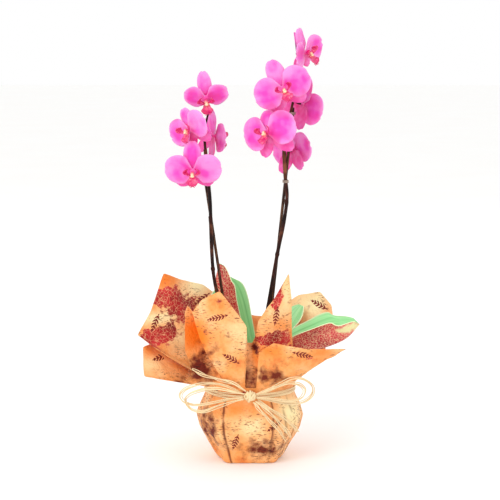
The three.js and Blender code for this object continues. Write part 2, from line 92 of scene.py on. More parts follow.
# A bloom's middle is a ball; its stalk and its lip stand a gap off it, and its petals are thin blades
HUB = 4.2
GAP = 0.3
BLADE = 0.8
# Two petals, the upper sepal and two lower ones: full length and width, clock angle, how far it bends back,
# how hollow it is, how far behind the bloom's middle it starts, its share of the rim's wave, and its seed
# and columns
TEPALS = [
    {"name": "petal", "length": 43, "width": 47, "clock": 6, "camber": 1.2, "depth": -1.4, "wave": 1.6,
     "seed": 0, "columns": 18},
    {"name": "petal", "length": 43, "width": 47, "clock": 174, "camber": 1.2, "depth": -1.4, "wave": 1.6,
     "seed": 2, "columns": 18},
    {"name": "dorsal", "length": 44, "width": 27, "clock": 90, "back": 6, "camber": 1.5, "depth": 1.6,
     "wave": 1, "seed": 3, "columns": 14},
    {"name": "lateral", "length": 39, "width": 24, "clock": -50, "back": 9, "camber": 1.5, "depth": 2.2,
     "wave": 1, "seed": 4, "columns": 14},
    {"name": "lateral", "length": 39, "width": 24, "clock": -130, "back": 9, "camber": 1.5, "depth": 2.2,
     "wave": 1, "seed": 5, "columns": 14},
]
# The lip's tongue: how far it reaches out and drops, its half width and the shares of that along it; the
# reach of the crest's warm colour; and a whisker's route from the tongue's tip
LIP = {"reach": 10.54, "drop": 12.75, "half_width": 8.4, "widths": (0.35, 0.6, 1, 0.75, 0.2), "crest": 4.2,
       "whisker": [(1.2, 0, 0), (2.4, -1.6, -0.4), (4.2, -1.2, 1.6), (4.6, 0.6, 2.6)]}
LIP_FRONT = -(HUB + GAP)

# Each bloom: its middle, turn to the right, nod, tilt to the left, forward cup, size, the height where its
# stalk leaves the spike and, where they differ, its upper sepal's length and its stalk's arch
BLOOMS = {
    "left_1": {"at": (-60, -18, 508), "turn": 2, "nod": 36, "tilt": 8, "cup": -12, "size": 0.72,
               "dorsal": 50, "stem": 484, "arch": 34},
    "left_2": {"at": (-82, -30, 466), "turn": -38, "nod": 12, "tilt": 24, "cup": 4, "size": 0.84,
               "dorsal": 36, "stem": 470},
    "left_3": {"at": (-78, -38, 409), "turn": -4, "nod": 20, "tilt": 2, "cup": -8, "size": 0.92,
               "stem": 424},
    "left_4": {"at": (-50, 21, 453), "turn": 120, "nod": 4, "tilt": 10, "cup": -4, "size": 0.86,
               "stem": 450},
    "right_1": {"at": (75, -6, 569), "turn": 56, "nod": 4, "tilt": 18, "cup": 12, "size": 0.8,
                "stem": 568},
    "right_2": {"at": (45, -38, 521), "turn": 6, "nod": 6, "tilt": 25, "cup": -6, "size": 0.95,
                "stem": 530},
    "right_3": {"at": (24, -37, 462), "turn": -32, "nod": 0, "tilt": 15, "cup": -10, "size": 1,
                "dorsal": 31, "stem": 482},
    "right_4": {"at": (73, 20, 498), "turn": 140, "nod": 4, "tilt": 26, "cup": -6, "size": 0.95,
                "stem": 506},
    "right_5": {"at": (61, 22, 433), "turn": 134, "nod": -6, "tilt": -12, "cup": -6, "size": 0.9,
                "stem": 444},
}

SPIKES = {
    "left": {
        "stem": [(-9, -1, 76), (-14, -1, 111), (-28, -2, 166), (-42, -2.5, 217), (-51, -3, 260),
                 (-54.5, -5, 330), (-55.5, -5, 366), (-58.8, -4, 400), (-62, 0, 436)],
        "rachis": [(-61.5, -0.5, 430), (-63, 2, 455), (-61, 2, 472), (-57.5, 1, 487)],
        "stake": [(-14, 9, 60), (-63.5, 0, 402)],
        "joints": (196, 268, 338, 404),
    },
    "right": {
        "stem": [(9, -2, 76), (11, -2, 111), (17, -2, 159), (24, -3, 205), (33, -6, 262), (40, -7, 300),
                 (48, -6, 340), (51.5, -6, 372), (49, -7, 398), (47, -5, 436)],
        "rachis": [(47, -5, 430), (50, -5.5, 458), (56, -5.5, 487), (63, -2, 520), (66, 2, 555),
                   (63, 2, 584), (61, 2, 597)],
        "stake": [(14.5, -4, 60), (30, -2, 210), (60, 0, 494)],
        "joints": (214, 290, 362, 428),
    },
}
# Radii of the stem, the flowering part, its tip, a flower stalk and a cane; how far a stalk arches; and a
# joint's swelling
STEM = {"radius": 2.7, "rachis": 1.9, "tip": 1.2, "stalk": 1.3, "stake": 2.1, "arch": 12, "swell": 0.35,
        "swell_length": 3.2}
# The dry scale that clasps a joint and the rings of a cane
BRACT = {"reach": 2.75, "flare": 0.35, "length": 7, "below": 3, "thickness": 0.3}
CANE = {"ring_spacing": 92, "first_ring": 40, "ring_height": 0.15, "ring_length": 1.6}

# Each leaf: its midrib, then the direction and width of its near and its far half; a tip value widens or
# narrows that half towards the leaf's tip
LEAVES = [
    {"midrib": [(2, 22, 96), (-13, 28, 149), (-33, 30, 195), (-45, 30, 228), (-48, 28, 250), (-43, 25, 272)],
     "near": (0.75, -0.66, 0), "near_half": 32, "far": (0.97, 0.24, 0), "far_half": 46,
     "near_tip": 0.4, "far_tip": -0.7},
    {"midrib": [(12, 19, 98), (36, 13, 132), (70, 4, 147), (105, 0, 156), (136, -1, 170), (154, -2, 190)],
     "near": (0, -0.62, 0.78), "near_half": 43, "far": (0, 0.3, 0.95), "far_half": 43,
     "near_tip": 0.5, "far_tip": 0.35},
    {"midrib": [(-2, 26, 96), (-16, 42, 140), (-30, 56, 178), (-38, 66, 210), (-40, 74, 232)],
     "near": (-0.7, -0.3, 0.65), "near_half": 27, "far": (0.7, -0.3, 0.65), "far_half": 27},
    {"midrib": [(10, 26, 96), (26, 40, 130), (46, 52, 158), (64, 60, 182), (76, 66, 204)],
     "near": (-0.6, 0.5, 0.6), "near_half": 26, "far": (0.5, -0.6, 0.6), "far_half": 26},
]
LEAF_THICKNESS = 1.4
CROWN = {"x": 5, "y": 22, "radius": 10, "low": 80, "high": 106, "foot": 0.7}
# The bark chips lie in a spiral over the filling and keep clear of its edge and of the crown
BARK = {"radius": 45, "height": 92.4, "chips": 90, "clear": 17}
GOLDEN_ANGLE = 2.399963

# Tables of the paper

# A level is its height, radius, front panel's distance and that panel's half angle
OUTER_LEVELS = [
    (0.4, 46, 45.5, 36), (22, 57, 52, 34), (45, 71, 61, 31), (62, 75, 63, 29), (84, 67, 63, 26),
    (94.5, 62.5, 61.5, 10), (106, 62.5, 61.5, 10),
]
INNER_LEVELS = [(1.5, 43.2, 43.2, 1), (50, 51.5, 51.5, 1), (94.5, 60.2, 60.2, 1), (106, 60.3, 60.3, 1)]

# A fold is its angle round the pot from the front, its rim point and how far its middle bows out
OUTER_FOLDS = [
    (8, (9, -64.5, 112), 0), (12, (12, -65, 163), 3), (24, (32, -71, 177), 5), (38, (75, -79, 170), 3),
    (50, (136, -74, 171), -4), (60, (104, -52, 152), -5), (70, (72, -31, 137), -2), (84, (69, -8, 122), 0),
    (100, (112, 30, 150), -6), (120, (98, 70, 168), -4), (140, (64, 100, 148), -8),
    (160, (24, 118, 166), -4), (180, (-14, 110, 144), -8), (200, (-50, 112, 164), -4),
    (220, (-84, 84, 146), -8), (240, (-112, 56, 160), -4), (258, (-134, 8, 166), -6),
    (272, (-154, -20, 163), -4), (288, (-151, -50, 125), -4), (300, (-94, -46, 115), -1),
    (307, (-80, -60, 134), 0), (313, (-91, -60, 166), -2), (320, (-92, -64, 221), -12),
    (327, (-86, -62, 228), -17), (334, (-80, -70, 224), 15), (341, (-66, -76, 238), 14),
    (348, (-41, -80, 251), 12), (351, (-4, -75, 201), 6), (353, (-7, -64.5, 112), 0),
]
INNER_FOLDS = [
    (4, (3, -54, 174), 0), (9, (8, -57, 186), 2), (17, (11, -60, 205), 3), (26, (21, -61, 221), 3),
    (35, (34, -60, 238), 2), (44, (53, -56, 272), 1), (51, (57, -51, 236), 0), (57, (58, -44, 190), 0),
    (64, (60, -32, 140), 0), (82, (72, -8, 134), 0), (94, (92, 20, 146), -2), (103, (121, 36, 182), -6),
    (114, (118, 52, 208), -4), (130, (102, 76, 224), -2), (146, (72, 92, 216), -2),
    (165, (22, 102, 182), -4), (182, (-10, 101, 186), -4), (202, (-38, 92, 208), -4),
    (222, (-68, 78, 234), -4), (240, (-101, 58, 245), -4), (253, (-124, 40, 257), -4),
    (267, (-141, 14, 206), -4), (281, (-159, -10, 176), -6), (295, (-126, -34, 158), -6),
    (306, (-68, -36, 122), -1), (318, (-38, -41, 112), 0), (332, (-27, -49, 113), 0),
    (346, (-17, -54, 150), 0), (356, (-5, -54, 174), 0),
]

# Where the paper's colour changes, as print, as a painted glow of light through the sheet and as painted
# shade: middle (x, y, z), reach (x, y, z) and strength
OUTER_WASHES = {
    # Painted glow: light shining through the thin paper, drawn as deep orange
    "glow": [
        (-74, -68, 186, 20, 40, 22, 1.3), (-66, -66, 156, 12, 40, 20, 0.8),
        (26, -70, 166, 20, 40, 10, 0.8), (-14, -62, 82, 22, 20, 8, 0.7), (104, -72, 164, 24, 30, 8, 0.5),
        (-140, -30, 160, 10, 30, 14, 0.5), (-30, -76, 232, 16, 20, 12, 0.4),
        (60, 80, 150, 30, 30, 14, 0.8), (-70, 84, 146, 22, 30, 12, 0.9),
    ],
    # Painted shade in the folds, the hollow of the cone and round the lower wrap, partly brown print
    "shade": [
        (-68, -62, 134, 20, 40, 24, 1.3), (-60, -62, 162, 12, 30, 16, 0.9),
        (30, -66, 130, 17, 26, 15, 1.0), (16, -56, 22, 24, 24, 16, 1.0), (-60, -42, 50, 18, 40, 34, 0.9),
        (-96, -50, 114, 14, 30, 8, 0.8), (-30, -66, 118, 16, 20, 8, 0.5), (46, -50, 22, 12, 30, 16, 0.7),
        (72, -20, 60, 10, 40, 26, 0.3), (-26, 56, 28, 24, 24, 14, 1.0), (46, 50, 60, 12, 20, 26, 0.8),
        (0, 74, 114, 34, 24, 7, 0.9), (-66, 30, 112, 20, 30, 8, 0.7), (96, 50, 128, 18, 30, 10, 0.8),
    ],
    "cream": [
        (56, -44, 74, 20, 34, 22, 1.0), (-138, -40, 140, 20, 40, 10, 0.6), (-2, -62, 54, 14, 20, 12, 0.6),
        (-16, -76, 196, 16, 24, 18, 0.5), (120, -74, 168, 10, 24, 6, 0.6), (78, -60, 116, 12, 26, 8, 0.6),
        (6, 62, 66, 24, 24, 18, 1.0), (-62, 32, 60, 14, 30, 18, 0.8), (0, 108, 158, 30, 30, 12, 0.8),
        (106, 66, 158, 16, 30, 10, 0.8),
    ],
    "red": [
        (-38, 100, 152, 22, 30, 10, 0.7), (68, 22, 34, 16, 26, 12, 0.6), (6, -52, 18, 10, 20, 8, 0.2),
        (90, -70, 158, 14, 30, 5, 0.3),
    ],
}
INNER_WASHES = {
    # Painted glow: light shining through the thin paper
    "glow": [
        (-120, 30, 246, 20, 60, 10, 0.9), (14, -56, 150, 12, 30, 34, 0.8), (112, 48, 200, 8, 30, 18, 0.5),
        (40, -58, 200, 14, 24, 12, 0.5),
    ],
    # Painted shade in the folds and in the dark gap at the front
    "shade": [
        (0, -54, 124, 20, 20, 20, 1.0), (-112, 40, 228, 10, 40, 8, 0.4), (6, -54, 168, 8, 14, 10, 0.7),
    ],
    "cream": [
        (-132, -6, 196, 30, 60, 8, 0.9), (-98, 10, 168, 16, 60, 12, 0.5), (96, 64, 204, 40, 60, 26, 1.0),
        (50, -54, 240, 8, 20, 26, 0.7), (-76, 74, 234, 22, 30, 20, 1.1),
    ],
    "red": [
        (-122, 10, 224, 30, 80, 12, 1.0), (-96, 10, 208, 18, 80, 20, 0.9),
        (-128, -16, 172, 24, 60, 12, 1.0), (38, -56, 178, 26, 24, 12, 0.9),
        (36, -60, 246, 8, 20, 24, 1.0),
    ],
}
# Dark fern fronds printed on the paper: middle (x, y, z), turn in the upright plane and half length
OUTER_FRONDS = [
    (-44, -78, 214, 14, 15), (-26, -74, 156, -32, 14), (72, -77, 161, 166, 15), (-20, -50, 34, 72, 13),
    (34, -54, 58, 38, 13), (-124, -40, 146, 12, 13), (-22, 66, 66, 62, 14), (30, 62, 44, -36, 13),
    (72, 92, 146, 24, 14), (-8, 108, 142, -14, 14), (-96, 62, 138, 40, 13), (68, 20, 74, 80, 13),
]
INNER_FRONDS = [
    (-134, 0, 190, 66, 13), (36, -60, 212, 80, 14), (100, 70, 206, -22, 13), (-70, 80, 214, 30, 14),
]
# A frond's half width, the spacing of its barbs, their slant and share of that spacing, the width of its
# half stalk, and how deep it is drawn into the sheet
FROND = {"half_width": 4.2, "spacing": 4.4, "slant": 0.9, "barb": 0.3, "stalk": 0.5, "depth": 26}
# Pleats of the lower wrap: angle from the front at the tie, lean down to the base, width in degrees (the
# sharp edge comes first), depth, and darkness of the painted shadow line beside that edge
PLEATS = [
    (-33, 2, -26, 1.9, 1.6), (-58, -10, -20, 1.3, 0.3), (-82, 8, -34, 1.6, 0.4), (-118, -8, -30, 1.3, 0.4),
    (28, 2, 16, 1.9, 1.6), (40, 10, 14, 1.3, 0.7), (54, 9, 22, 1.5, 0.7), (84, -9, 30, 1.4, 0.4),
    (124, 8, 34, 1.4, 0.4), (-152, -7, -34, 1.4, 0.4), (162, 6, 24, 1.2, 0.4),
]
# How wide a pleat's sharp edge is in degrees, and the heights between which the raffia ties the paper
PLEAT_EDGE = 2.0
TIE = {"low": 97, "high": 106, "gathers": 23}
# How finely a sheet is divided under the pot, along its side of 110 mm, in the flare and from fold to fold,
# the angle past which a fold stays sharp, its thickness, and the spacing and depth of its creases
SHEET = {"base_rows": 5, "side": 110, "side_rows": 22, "flare_rows": 30, "columns": 9, "sharp": 28,
         "thickness": 0.48}
CREASES = {"large": 34, "large_depth": 2.6, "small": 11, "small_depth": 0.9, "below_tie": 0.8}
SHEETS = {
    "outer": {"levels": OUTER_LEVELS, "folds": OUTER_FOLDS, "washes": OUTER_WASHES, "fronds": OUTER_FRONDS,
              "pleated": True},
    "inner": {"levels": INNER_LEVELS, "folds": INNER_FOLDS, "washes": INNER_WASHES, "fronds": INNER_FRONDS,
              "pleated": False},
}

# Tables of the raffia

# The knot's middle, half size, and its turns: how far out they lie, their lean and their shift; then the
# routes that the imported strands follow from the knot
KNOT = {"at": (0, -70.6, 102), "half": (9, 4.4, 7), "swell": (1.05, 0.05),
        "turns": [(0.75, -1.6), (-0.7, 1.2), (0.6, 2.2), (0.1, -0.4)]}
STRANDS = {
    "loop_left_1": [(-9.6, -70, 105), (-24, -73, 113), (-45, -69, 119), (-70, -60, 116), (-92, -52, 106),
                    (-97, -50, 97), (-90, -50, 88), (-74, -56, 86), (-50, -68, 92), (-26, -73, 99),
                    (-9.8, -72, 100.5)],
    "loop_left_2": [(-8.6, -73.5, 106), (-24, -77, 110), (-46, -73, 113), (-68, -64, 109), (-85, -57, 101),
                    (-90, -55, 93), (-82, -58.5, 81), (-66, -65, 79), (-44, -74, 89), (-24, -77.5, 96.5),
                    (-8.8, -74.5, 98.5)],
    "loop_right_1": [(9.6, -70, 104), (24, -71, 110), (42, -67, 118), (58, -60, 124), (74, -54, 122),
                     (86, -50, 112), (87, -48, 101), (80, -48, 92), (66, -55, 88), (46, -66, 91),
                     (26, -71, 96), (9.8, -71, 99.5)],
    "loop_right_2": [(9.2, -74, 106), (22, -76, 111), (38, -73, 116), (54, -66, 119), (68, -59, 116),
                     (76, -55, 107), (72, -56, 97), (58, -65, 94), (40, -74, 97), (24, -77, 100),
                     (9.2, -75, 102.3)],
    "tail_right_1": [(8, -70.5, 94.6), (17, -70, 88), (34, -68, 72), (48, -62, 54), (56, -56, 40)],
    "tail_right_2": [(5, -70.5, 93.2), (13, -70, 84), (27, -68, 68), (40, -67, 52), (50, -61, 36)],
    "tail_right_3": [(11.4, -67.6, 96.2), (24, -68.4, 87), (44, -64, 72), (58, -57, 58), (67, -49, 46)],
    "tail_left_1": [(-6, -71, 109.4), (-24, -73, 121), (-46, -70, 127), (-66, -66, 132), (-80, -66, 139)],
}
# The band's turns lie alternately under and over each other and are narrower than a loop's bundle
BAND = {"radius": 63.9, "low": 97.2, "wraps": 5, "pitch": 1.5, "width": 0.66, "lifts": (0.1, 0.5)}
# The ribbons of a strand: each one's width and drift as shares of the raffia's width, and how finely the
# strand's line is divided
RIBBON = {"shares": [(0.7, 0.2), (0.55, 0.85), (0.45, 1.1)], "step": 4.5, "least_steps": 24,
          "into_knot": 0.06}
RAFFIA_THICKNESS = {"ribbon": 0.4, "band": 0.5, "knot": 0.6}


# Settings that a user would change

def colour_setting(name, description, hex_colour):
    return bpy.props.FloatVectorProperty(
        name=name, description=description, subtype="COLOR", size=4, min=0, max=1,
        default=linear(hex_colour))


def length_setting(name, description, least, most, default):
    return bpy.props.FloatProperty(
        name=name, description=description, subtype="DISTANCE", unit="LENGTH", min=least, max=most,
        default=default)


def power_setting(name, description, default):
    return bpy.props.FloatProperty(
        name=name, description=description, unit="POWER", min=0, max=500, default=default)


class PlantSettings(bpy.types.PropertyGroup):
    """Colours and sizes of the blooms, the leaves and the bark."""

    petal_face: colour_setting("Petal face", "Colour of the middle of a petal", "EE48C4")
    petal_edge: colour_setting("Petal edge", "Paler colour towards a petal's rim", "FBA2E4")
    petal_heart: colour_setting("Petal heart", "Deep colour at the root of a petal", "E81C88")
    lip_colour: colour_setting("Lip", "Colour of the lip", "DA0E6C")
    leaf_top: colour_setting("Leaf top", "Colour of a leaf's upper face", "A2E29C")
    leaf_under: colour_setting("Leaf underside", "Colour of a leaf's lower face", "BE1828")
    petal_wave: length_setting("Petal wave", "Height of the waves along a petal's rim", 0, 0.003, 0.0006)
    chip_size: length_setting("Bark chip", "Length of a chip of bark in the pot", 0.004, 0.02, 0.010)


class WrapSettings(bpy.types.PropertyGroup):
    """Colours and sizes of the printed paper and the raffia."""

    paper_wash: colour_setting("Paper wash", "Ground colour of the printed paper", "F6A258")
    paper_red: colour_setting("Paper red", "Colour of the paper's red stains", "B8121E")
    raffia_colour: colour_setting("Raffia", "Colour of the dry palm fibre", "F2D6A2")
    crumple: length_setting("Crumple", "Depth of the paper's small creases", 0, 0.003, 0.0011)
    raffia_width: length_setting("Raffia width", "Width of a bundle of fibres", 0.001, 0.005, 0.0024)


class StageSettings(bpy.types.PropertyGroup):
    """The camera and the light."""

    lens: bpy.props.FloatProperty(
        name="Lens", description="Focal length on a 36 mm sensor", unit="CAMERA", min=20, max=300,
        default=CAMERA["lens"])
    key_power: power_setting("Key light", "Power of the soft light at the left", 30)
    fill_power: power_setting("Fill light", "Power of the soft lights at the right and behind", 6)


# Making meshes

def deselect():
    bpy.ops.object.select_all(action="DESELECT")


def select(piece):
    deselect()
    piece.select_set(True)
    bpy.context.view_layer.objects.active = piece


def apply_modifier(piece, name, kind, **settings):
    select(piece)
    modifier = piece.modifiers.new(name, kind)
    for key, value in settings.items():
        setattr(modifier, key, value)
    bpy.ops.object.modifier_apply(modifier=modifier.name)


def edit_whole(piece, operator, **settings):
    """Runs one edit mode operator on the whole of a piece."""
    select(piece)
    bpy.ops.object.mode_set(mode="EDIT")
    bpy.ops.mesh.select_all(action="SELECT")
    operator(**settings)
    bpy.ops.object.mode_set(mode="OBJECT")


def shaped_grid(name, columns, rows, place):
    """A divided plane whose corners are moved to where place(across, along) puts them, both from 0 to 1."""
    deselect()
    bpy.ops.mesh.primitive_grid_add(x_subdivisions=columns, y_subdivisions=rows, size=1)
    piece = bpy.context.object
    piece.name = name
    for corner in piece.data.vertices:
        corner.co = place(corner.co.x + 0.5, corner.co.y + 0.5)
    return piece


def ball(segments, rings, radius=1, at=(0, 0, 0)):
    deselect()
    bpy.ops.mesh.primitive_uv_sphere_add(segments=segments, ring_count=rings, radius=radius, location=at)
    return bpy.context.object


def thicken(piece, thickness, second_material=0):
    """Gives a sheet its thickness; its back and rim may take another of its materials."""
    apply_modifier(
        piece, "Thickness", "SOLIDIFY", thickness=thickness * MM, offset=0, material_offset=second_material)


def join(name, pieces):
    """Several pieces as one, at the origin, with smooth faces."""
    deselect()
    for piece in pieces:
        piece.select_set(True)
    bpy.context.view_layer.objects.active = pieces[0]
    if len(pieces) > 1:
        bpy.ops.object.join()
    whole = bpy.context.view_layer.objects.active
    whole.name = name
    whole.data.name = name
    bpy.ops.object.transform_apply(location=True, rotation=True, scale=True)
    bpy.ops.object.shade_smooth()
    return whole


def seat(piece, slot, *nodes):
    """A finished piece rides on the root body and stands for its nodes, which it hides; its slot is not
    used.
    """
    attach(piece, "root")
    if nodes:
        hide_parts(*nodes)
    return piece


def path_length(path):
    return sum((b - a).length for a, b in zip(path, path[1:]))


def on_path(path, along):
    """The point at a share of the way along a path, and the path's direction there."""
    place = along * (len(path) - 1)
    low = min(int(place), len(path) - 2)
    return path[low].lerp(path[low + 1], place - low), (path[low + 1] - path[low]).normalized()


def smooth_path(points, steps):
    """Points along the centripetal curve through the given ones, in metres."""
    knots = [vec(p) for p in points]
    padded = [knots[0] * 2 - knots[1], *knots, knots[-1] * 2 - knots[-2]]
    path = []
    for step in range(steps + 1):
        place = step / steps * (len(knots) - 1)
        index = min(int(place), len(knots) - 2)
        t = place - index
        before, start, end, after = padded[index:index + 4]
        first, middle, last = [
            max((b - a).length ** 0.5, 1e-6) for a, b in ((before, start), (start, end), (end, after))
        ]
        leave = (start - before) / first - (end - before) / (first + middle) + (end - start) / middle
        arrive = (end - start) / middle - (after - start) / (middle + last) + (after - end) / last
        leave, arrive = leave * middle, arrive * middle
        square = start * -3 + end * 3 - leave * 2 - arrive
        cube = start * 2 - end * 2 + leave + arrive
        path.append(start + leave * t + square * t * t + cube * t * t * t)
    return path


def rod(name, path, radii, sides=6):
    """A round rod: a path curve set point by point, given a round bevel, then made a mesh."""
    deselect()
    bpy.ops.curve.primitive_nurbs_path_add()
    curve = bpy.context.object
    curve.name = name
    curve.data.splines.clear()
    line = curve.data.splines.new("POLY")
    line.points.add(len(path) - 1)
    for point, place, radius in zip(line.points, path, radii):
        point.co = (*place, 1)
        point.radius = radius / MM
    curve.data.bevel_depth = MM
    curve.data.bevel_resolution = sides
    curve.data.use_fill_caps = True
    curve.data.twist_mode = "MINIMUM"
    bpy.ops.object.convert(target="MESH")
    return bpy.context.object


def at_height(path, height):
    """The point of a path that lies nearest to a height in millimetres."""
    return min(path, key=lambda point: abs(point.z - height * MM))


# Making finishes

def new_finish(name):
    finish = bpy.data.materials.new(name)
    finish.use_nodes = True
    finish.node_tree.nodes.clear()
    return finish


def add_node(finish, kind, inputs=None, stops=(), **settings):
    """Adds a node with its settings, its inputs and, on a ramp, its colour stops.

    An input is a constant, a hex colour, or what it is linked to: a socket, or a node's first output.
    """
    node = finish.node_tree.nodes.new(f"ShaderNode{kind}")
    for name, value in settings.items():
        setattr(node, name, value)
    for socket, source in (inputs or {}).items():
        if isinstance(source, bpy.types.Node):
            source = source.outputs[0]
        if isinstance(source, bpy.types.NodeSocket):
            finish.node_tree.links.new(source, node.inputs[socket])
        else:
            node.inputs[socket].default_value = linear(source) if isinstance(source, str) else source
    if stops:
        elements = node.color_ramp.elements
        while len(elements) < len(stops):
            elements.new(0.5)
        for element, (position, colour) in zip(elements, stops):
            element.position = position
            element.color = linear(colour) if isinstance(colour, str) else colour
    return node


def tinted(finish, colour, layers, blend_type="MIX"):
    """Lays tints over a colour.

    A layer is a pattern, its fade (two values of the pattern and how much tint shows at each) and its tint.
    A pattern with no fade is itself how much tint shows.
    """
    for share, fade, tint in layers:
        if fade:
            low, high, at_low, at_high = fade
            share = add_node(finish, "MapRange", {
                "Value": share, "From Min": low, "From Max": high, "To Min": at_low, "To Max": at_high})
        colour = add_node(
            finish, "MixRGB", {"Fac": share, "Color1": colour, "Color2": tint}, blend_type=blend_type)
    return colour


def shade(finish, colour, reliefs, shine):
    """Ends a finish: its reliefs (pattern, strength and depth in mm), its shader and the output."""
    inputs = {"Base Color": colour, **shine}
    for pattern, strength, depth in reliefs:
        under = {"Normal": inputs["Normal"]} if "Normal" in inputs else {}
        inputs["Normal"] = add_node(
            finish, "Bump", {"Height": pattern, "Strength": strength, "Distance": depth * MM, **under})
    surface = add_node(finish, "BsdfPrincipled", inputs)
    add_node(finish, "OutputMaterial", {"Surface": surface})
    return finish


def petal_finish(plant):
    """Living petal: a deep root, a pale rim, fine veins along it and a soft waxy sheen."""
    finish = new_finish("living_petal")
    grid = add_node(finish, "UVMap")
    parts = add_node(finish, "SeparateXYZ", {"Vector": grid})
    point = add_node(finish, "TexCoord").outputs["Object"]
    body = add_node(finish, "ValToRGB", {"Fac": parts.outputs["Y"]}, [
        (0.1, plant.petal_heart), (0.4, plant.petal_face), (0.7, plant.petal_face),
        (0.98, plant.petal_edge)])
    from_side = add_node(finish, "Math", {0: parts.outputs["X"], 1: 0.5}, operation="PINGPONG")
    # Pale clouds about 25 mm across with hotter patches between them
    cloud = add_node(finish, "TexNoise", {"Vector": point, "Scale": 40.0, "Detail": 2.0})
    # Veins about 1.5 mm apart, drawn coarser than the real 0.8 mm so that they show
    stretched = add_node(finish, "Mapping", {"Vector": grid, "Scale": (1.0, 0.16, 1.0)})
    wave = {"Vector": stretched, "Scale": 9.0, "Distortion": 2.2, "Detail": 2.0}
    veins = add_node(finish, "TexWave", wave, bands_direction="X").outputs["Fac"]
    colour = tinted(finish, body, [
        (from_side, (0, 0.28, 0.85, 0), plant.petal_edge),
        (cloud, (0.46, 0.66, 0, 0.75), plant.petal_edge),
        (cloud, (0.46, 0.3, 0, 0.55), plant.petal_heart),
        (veins, (0.7, 1, 0, 0.4), plant.petal_heart)])
    return shade(finish, colour, [(veins, 0.25, 0.4)], {
        "Roughness": 0.55, "Sheen Weight": 0.25, "Subsurface Weight": 0.12, "Subsurface Scale": 0.004,
        "Specular IOR Level": 0.3})


def sepal_finish(plant):
    """Living sepal, for the two lower ones: the petals' flesh, redder and more even, partly their own colour
    and partly painted shade.
    """
    finish = new_finish("living_sepal")
    grid = add_node(finish, "UVMap")
    parts = add_node(finish, "SeparateXYZ", {"Vector": grid})
    # Deeper and redder than a petal: partly the sepal's own colour, partly painted shade for sepals that
    # hang in shade
    body = add_node(finish, "ValToRGB", {"Fac": parts.outputs["Y"]}, [
        (0.0, "DC1468"), (0.5, "EE3C9C"), (1.0, "F25CB4")])
    point = add_node(finish, "TexCoord").outputs["Object"]
    # Cloudy patches about 14 mm across
    cloud = add_node(finish, "TexNoise", {"Vector": point, "Scale": 70.0, "Detail": 2.0})
    colour = tinted(finish, body, [(cloud, (0.4, 0.7, 0, 0.5), plant.petal_edge)])
    return shade(finish, colour, [(cloud, 0.2, 0.4)], {
        "Roughness": 0.55, "Sheen Weight": 0.2, "Subsurface Weight": 0.1, "Subsurface Scale": 0.004,
        "Specular IOR Level": 0.3})


def lip_finish(plant):
    """Waxy lip: saturated crimson with an orange-yellow crest and dark freckles, wetter than a petal."""
    finish = new_finish("waxy_lip")
    point = add_node(finish, "TexCoord").outputs["Object"]
    crest = add_node(finish, "Attribute", attribute_name="crest").outputs["Fac"]
    # Freckles about 1.6 mm apart
    freckles = add_node(finish, "TexVoronoi", {"Vector": point, "Scale": 620.0})
    # Pale marks about 3 mm across break up the crest and the flesh round it
    marks = add_node(finish, "TexNoise", {"Vector": point, "Scale": 330.0, "Detail": 2.0})
    broken = add_node(finish, "Math", {0: marks, 1: 1.1, 2: -0.45}, operation="MULTIPLY_ADD")
    marked = add_node(finish, "Math", {0: broken, 1: crest}, operation="ADD")
    crested = add_node(finish, "ValToRGB", {"Fac": marked}, [
        (0.08, plant.lip_colour), (0.3, "F2588C"), (0.55, "FFA490"), (0.85, "FFE4BC")])
    colour = tinted(finish, crested, [(freckles, (0.2, 0.42, 0.55, 0), "9C0A3C")])
    return shade(finish, colour, [(freckles, 0.2, 0.3)], {
        "Roughness": 0.34, "Coat Weight": 0.2, "Subsurface Weight": 0.08, "Subsurface Scale": 0.003})


def leaf_top_finish(plant):
    """Fleshy leaf, upper face: pale green, satin, with faint lengthwise lines and a cream margin."""
    finish = new_finish("leaf_upper_face")
    grid = add_node(finish, "UVMap")
    parts = add_node(finish, "SeparateXYZ", {"Vector": grid})
    from_side = add_node(finish, "Math", {0: parts.outputs["X"], 1: 0.5}, operation="PINGPONG")
    # Lines about 3 mm apart
    stretched = add_node(finish, "Mapping", {"Vector": grid, "Scale": (22.0, 1.4, 1.0)})
    lines = add_node(finish, "TexNoise", {"Vector": stretched, "Scale": 1.0, "Detail": 3.0})
    ground = add_node(finish, "ValToRGB", {"Fac": lines}, [
        (0.3, "84CE84"), (0.55, plant.leaf_top), (0.75, "C6F4B2")])
    colour = tinted(finish, ground, [(from_side, (0, 0.03, 0.9, 0), "F2FBC8")])
    return shade(finish, colour, [(lines, 0.25, 0.8)], {
        "Roughness": 0.42, "Coat Weight": 0.1, "Specular IOR Level": 0.45})


def leaf_under_finish(plant):
    """Fleshy leaf, underside: maroon stain broken by a fine pale net, duller than the upper face."""
    finish = new_finish("leaf_underside")
    point = add_node(finish, "TexCoord").outputs["Object"]
    # A net with meshes about 4 mm wide
    warp = add_node(finish, "TexNoise", {"Vector": point, "Scale": 160.0, "Detail": 2.0}).outputs["Color"]
    moved = add_node(finish, "MixRGB", {"Fac": 0.006, "Color1": point, "Color2": warp}, blend_type="ADD")
    net = add_node(finish, "TexVoronoi", {"Vector": moved, "Scale": 250.0}, feature="DISTANCE_TO_EDGE")
    # Stains about 40 mm across
    stain = add_node(finish, "TexNoise", {"Vector": point, "Scale": 24.0, "Detail": 4.0})
    stained = add_node(finish, "ValToRGB", {"Fac": stain}, [
        (0.34, "E4E0A0"), (0.4, "DA4A4C"), (0.52, plant.leaf_under), (0.68, "8A1018")])
    colour = tinted(finish, stained, [(net, (0.02, 0.08, 0.7, 0), "F4DDA8")])
    return shade(finish, colour, [(net, 0.2, 0.3)], {"Roughness": 0.55})


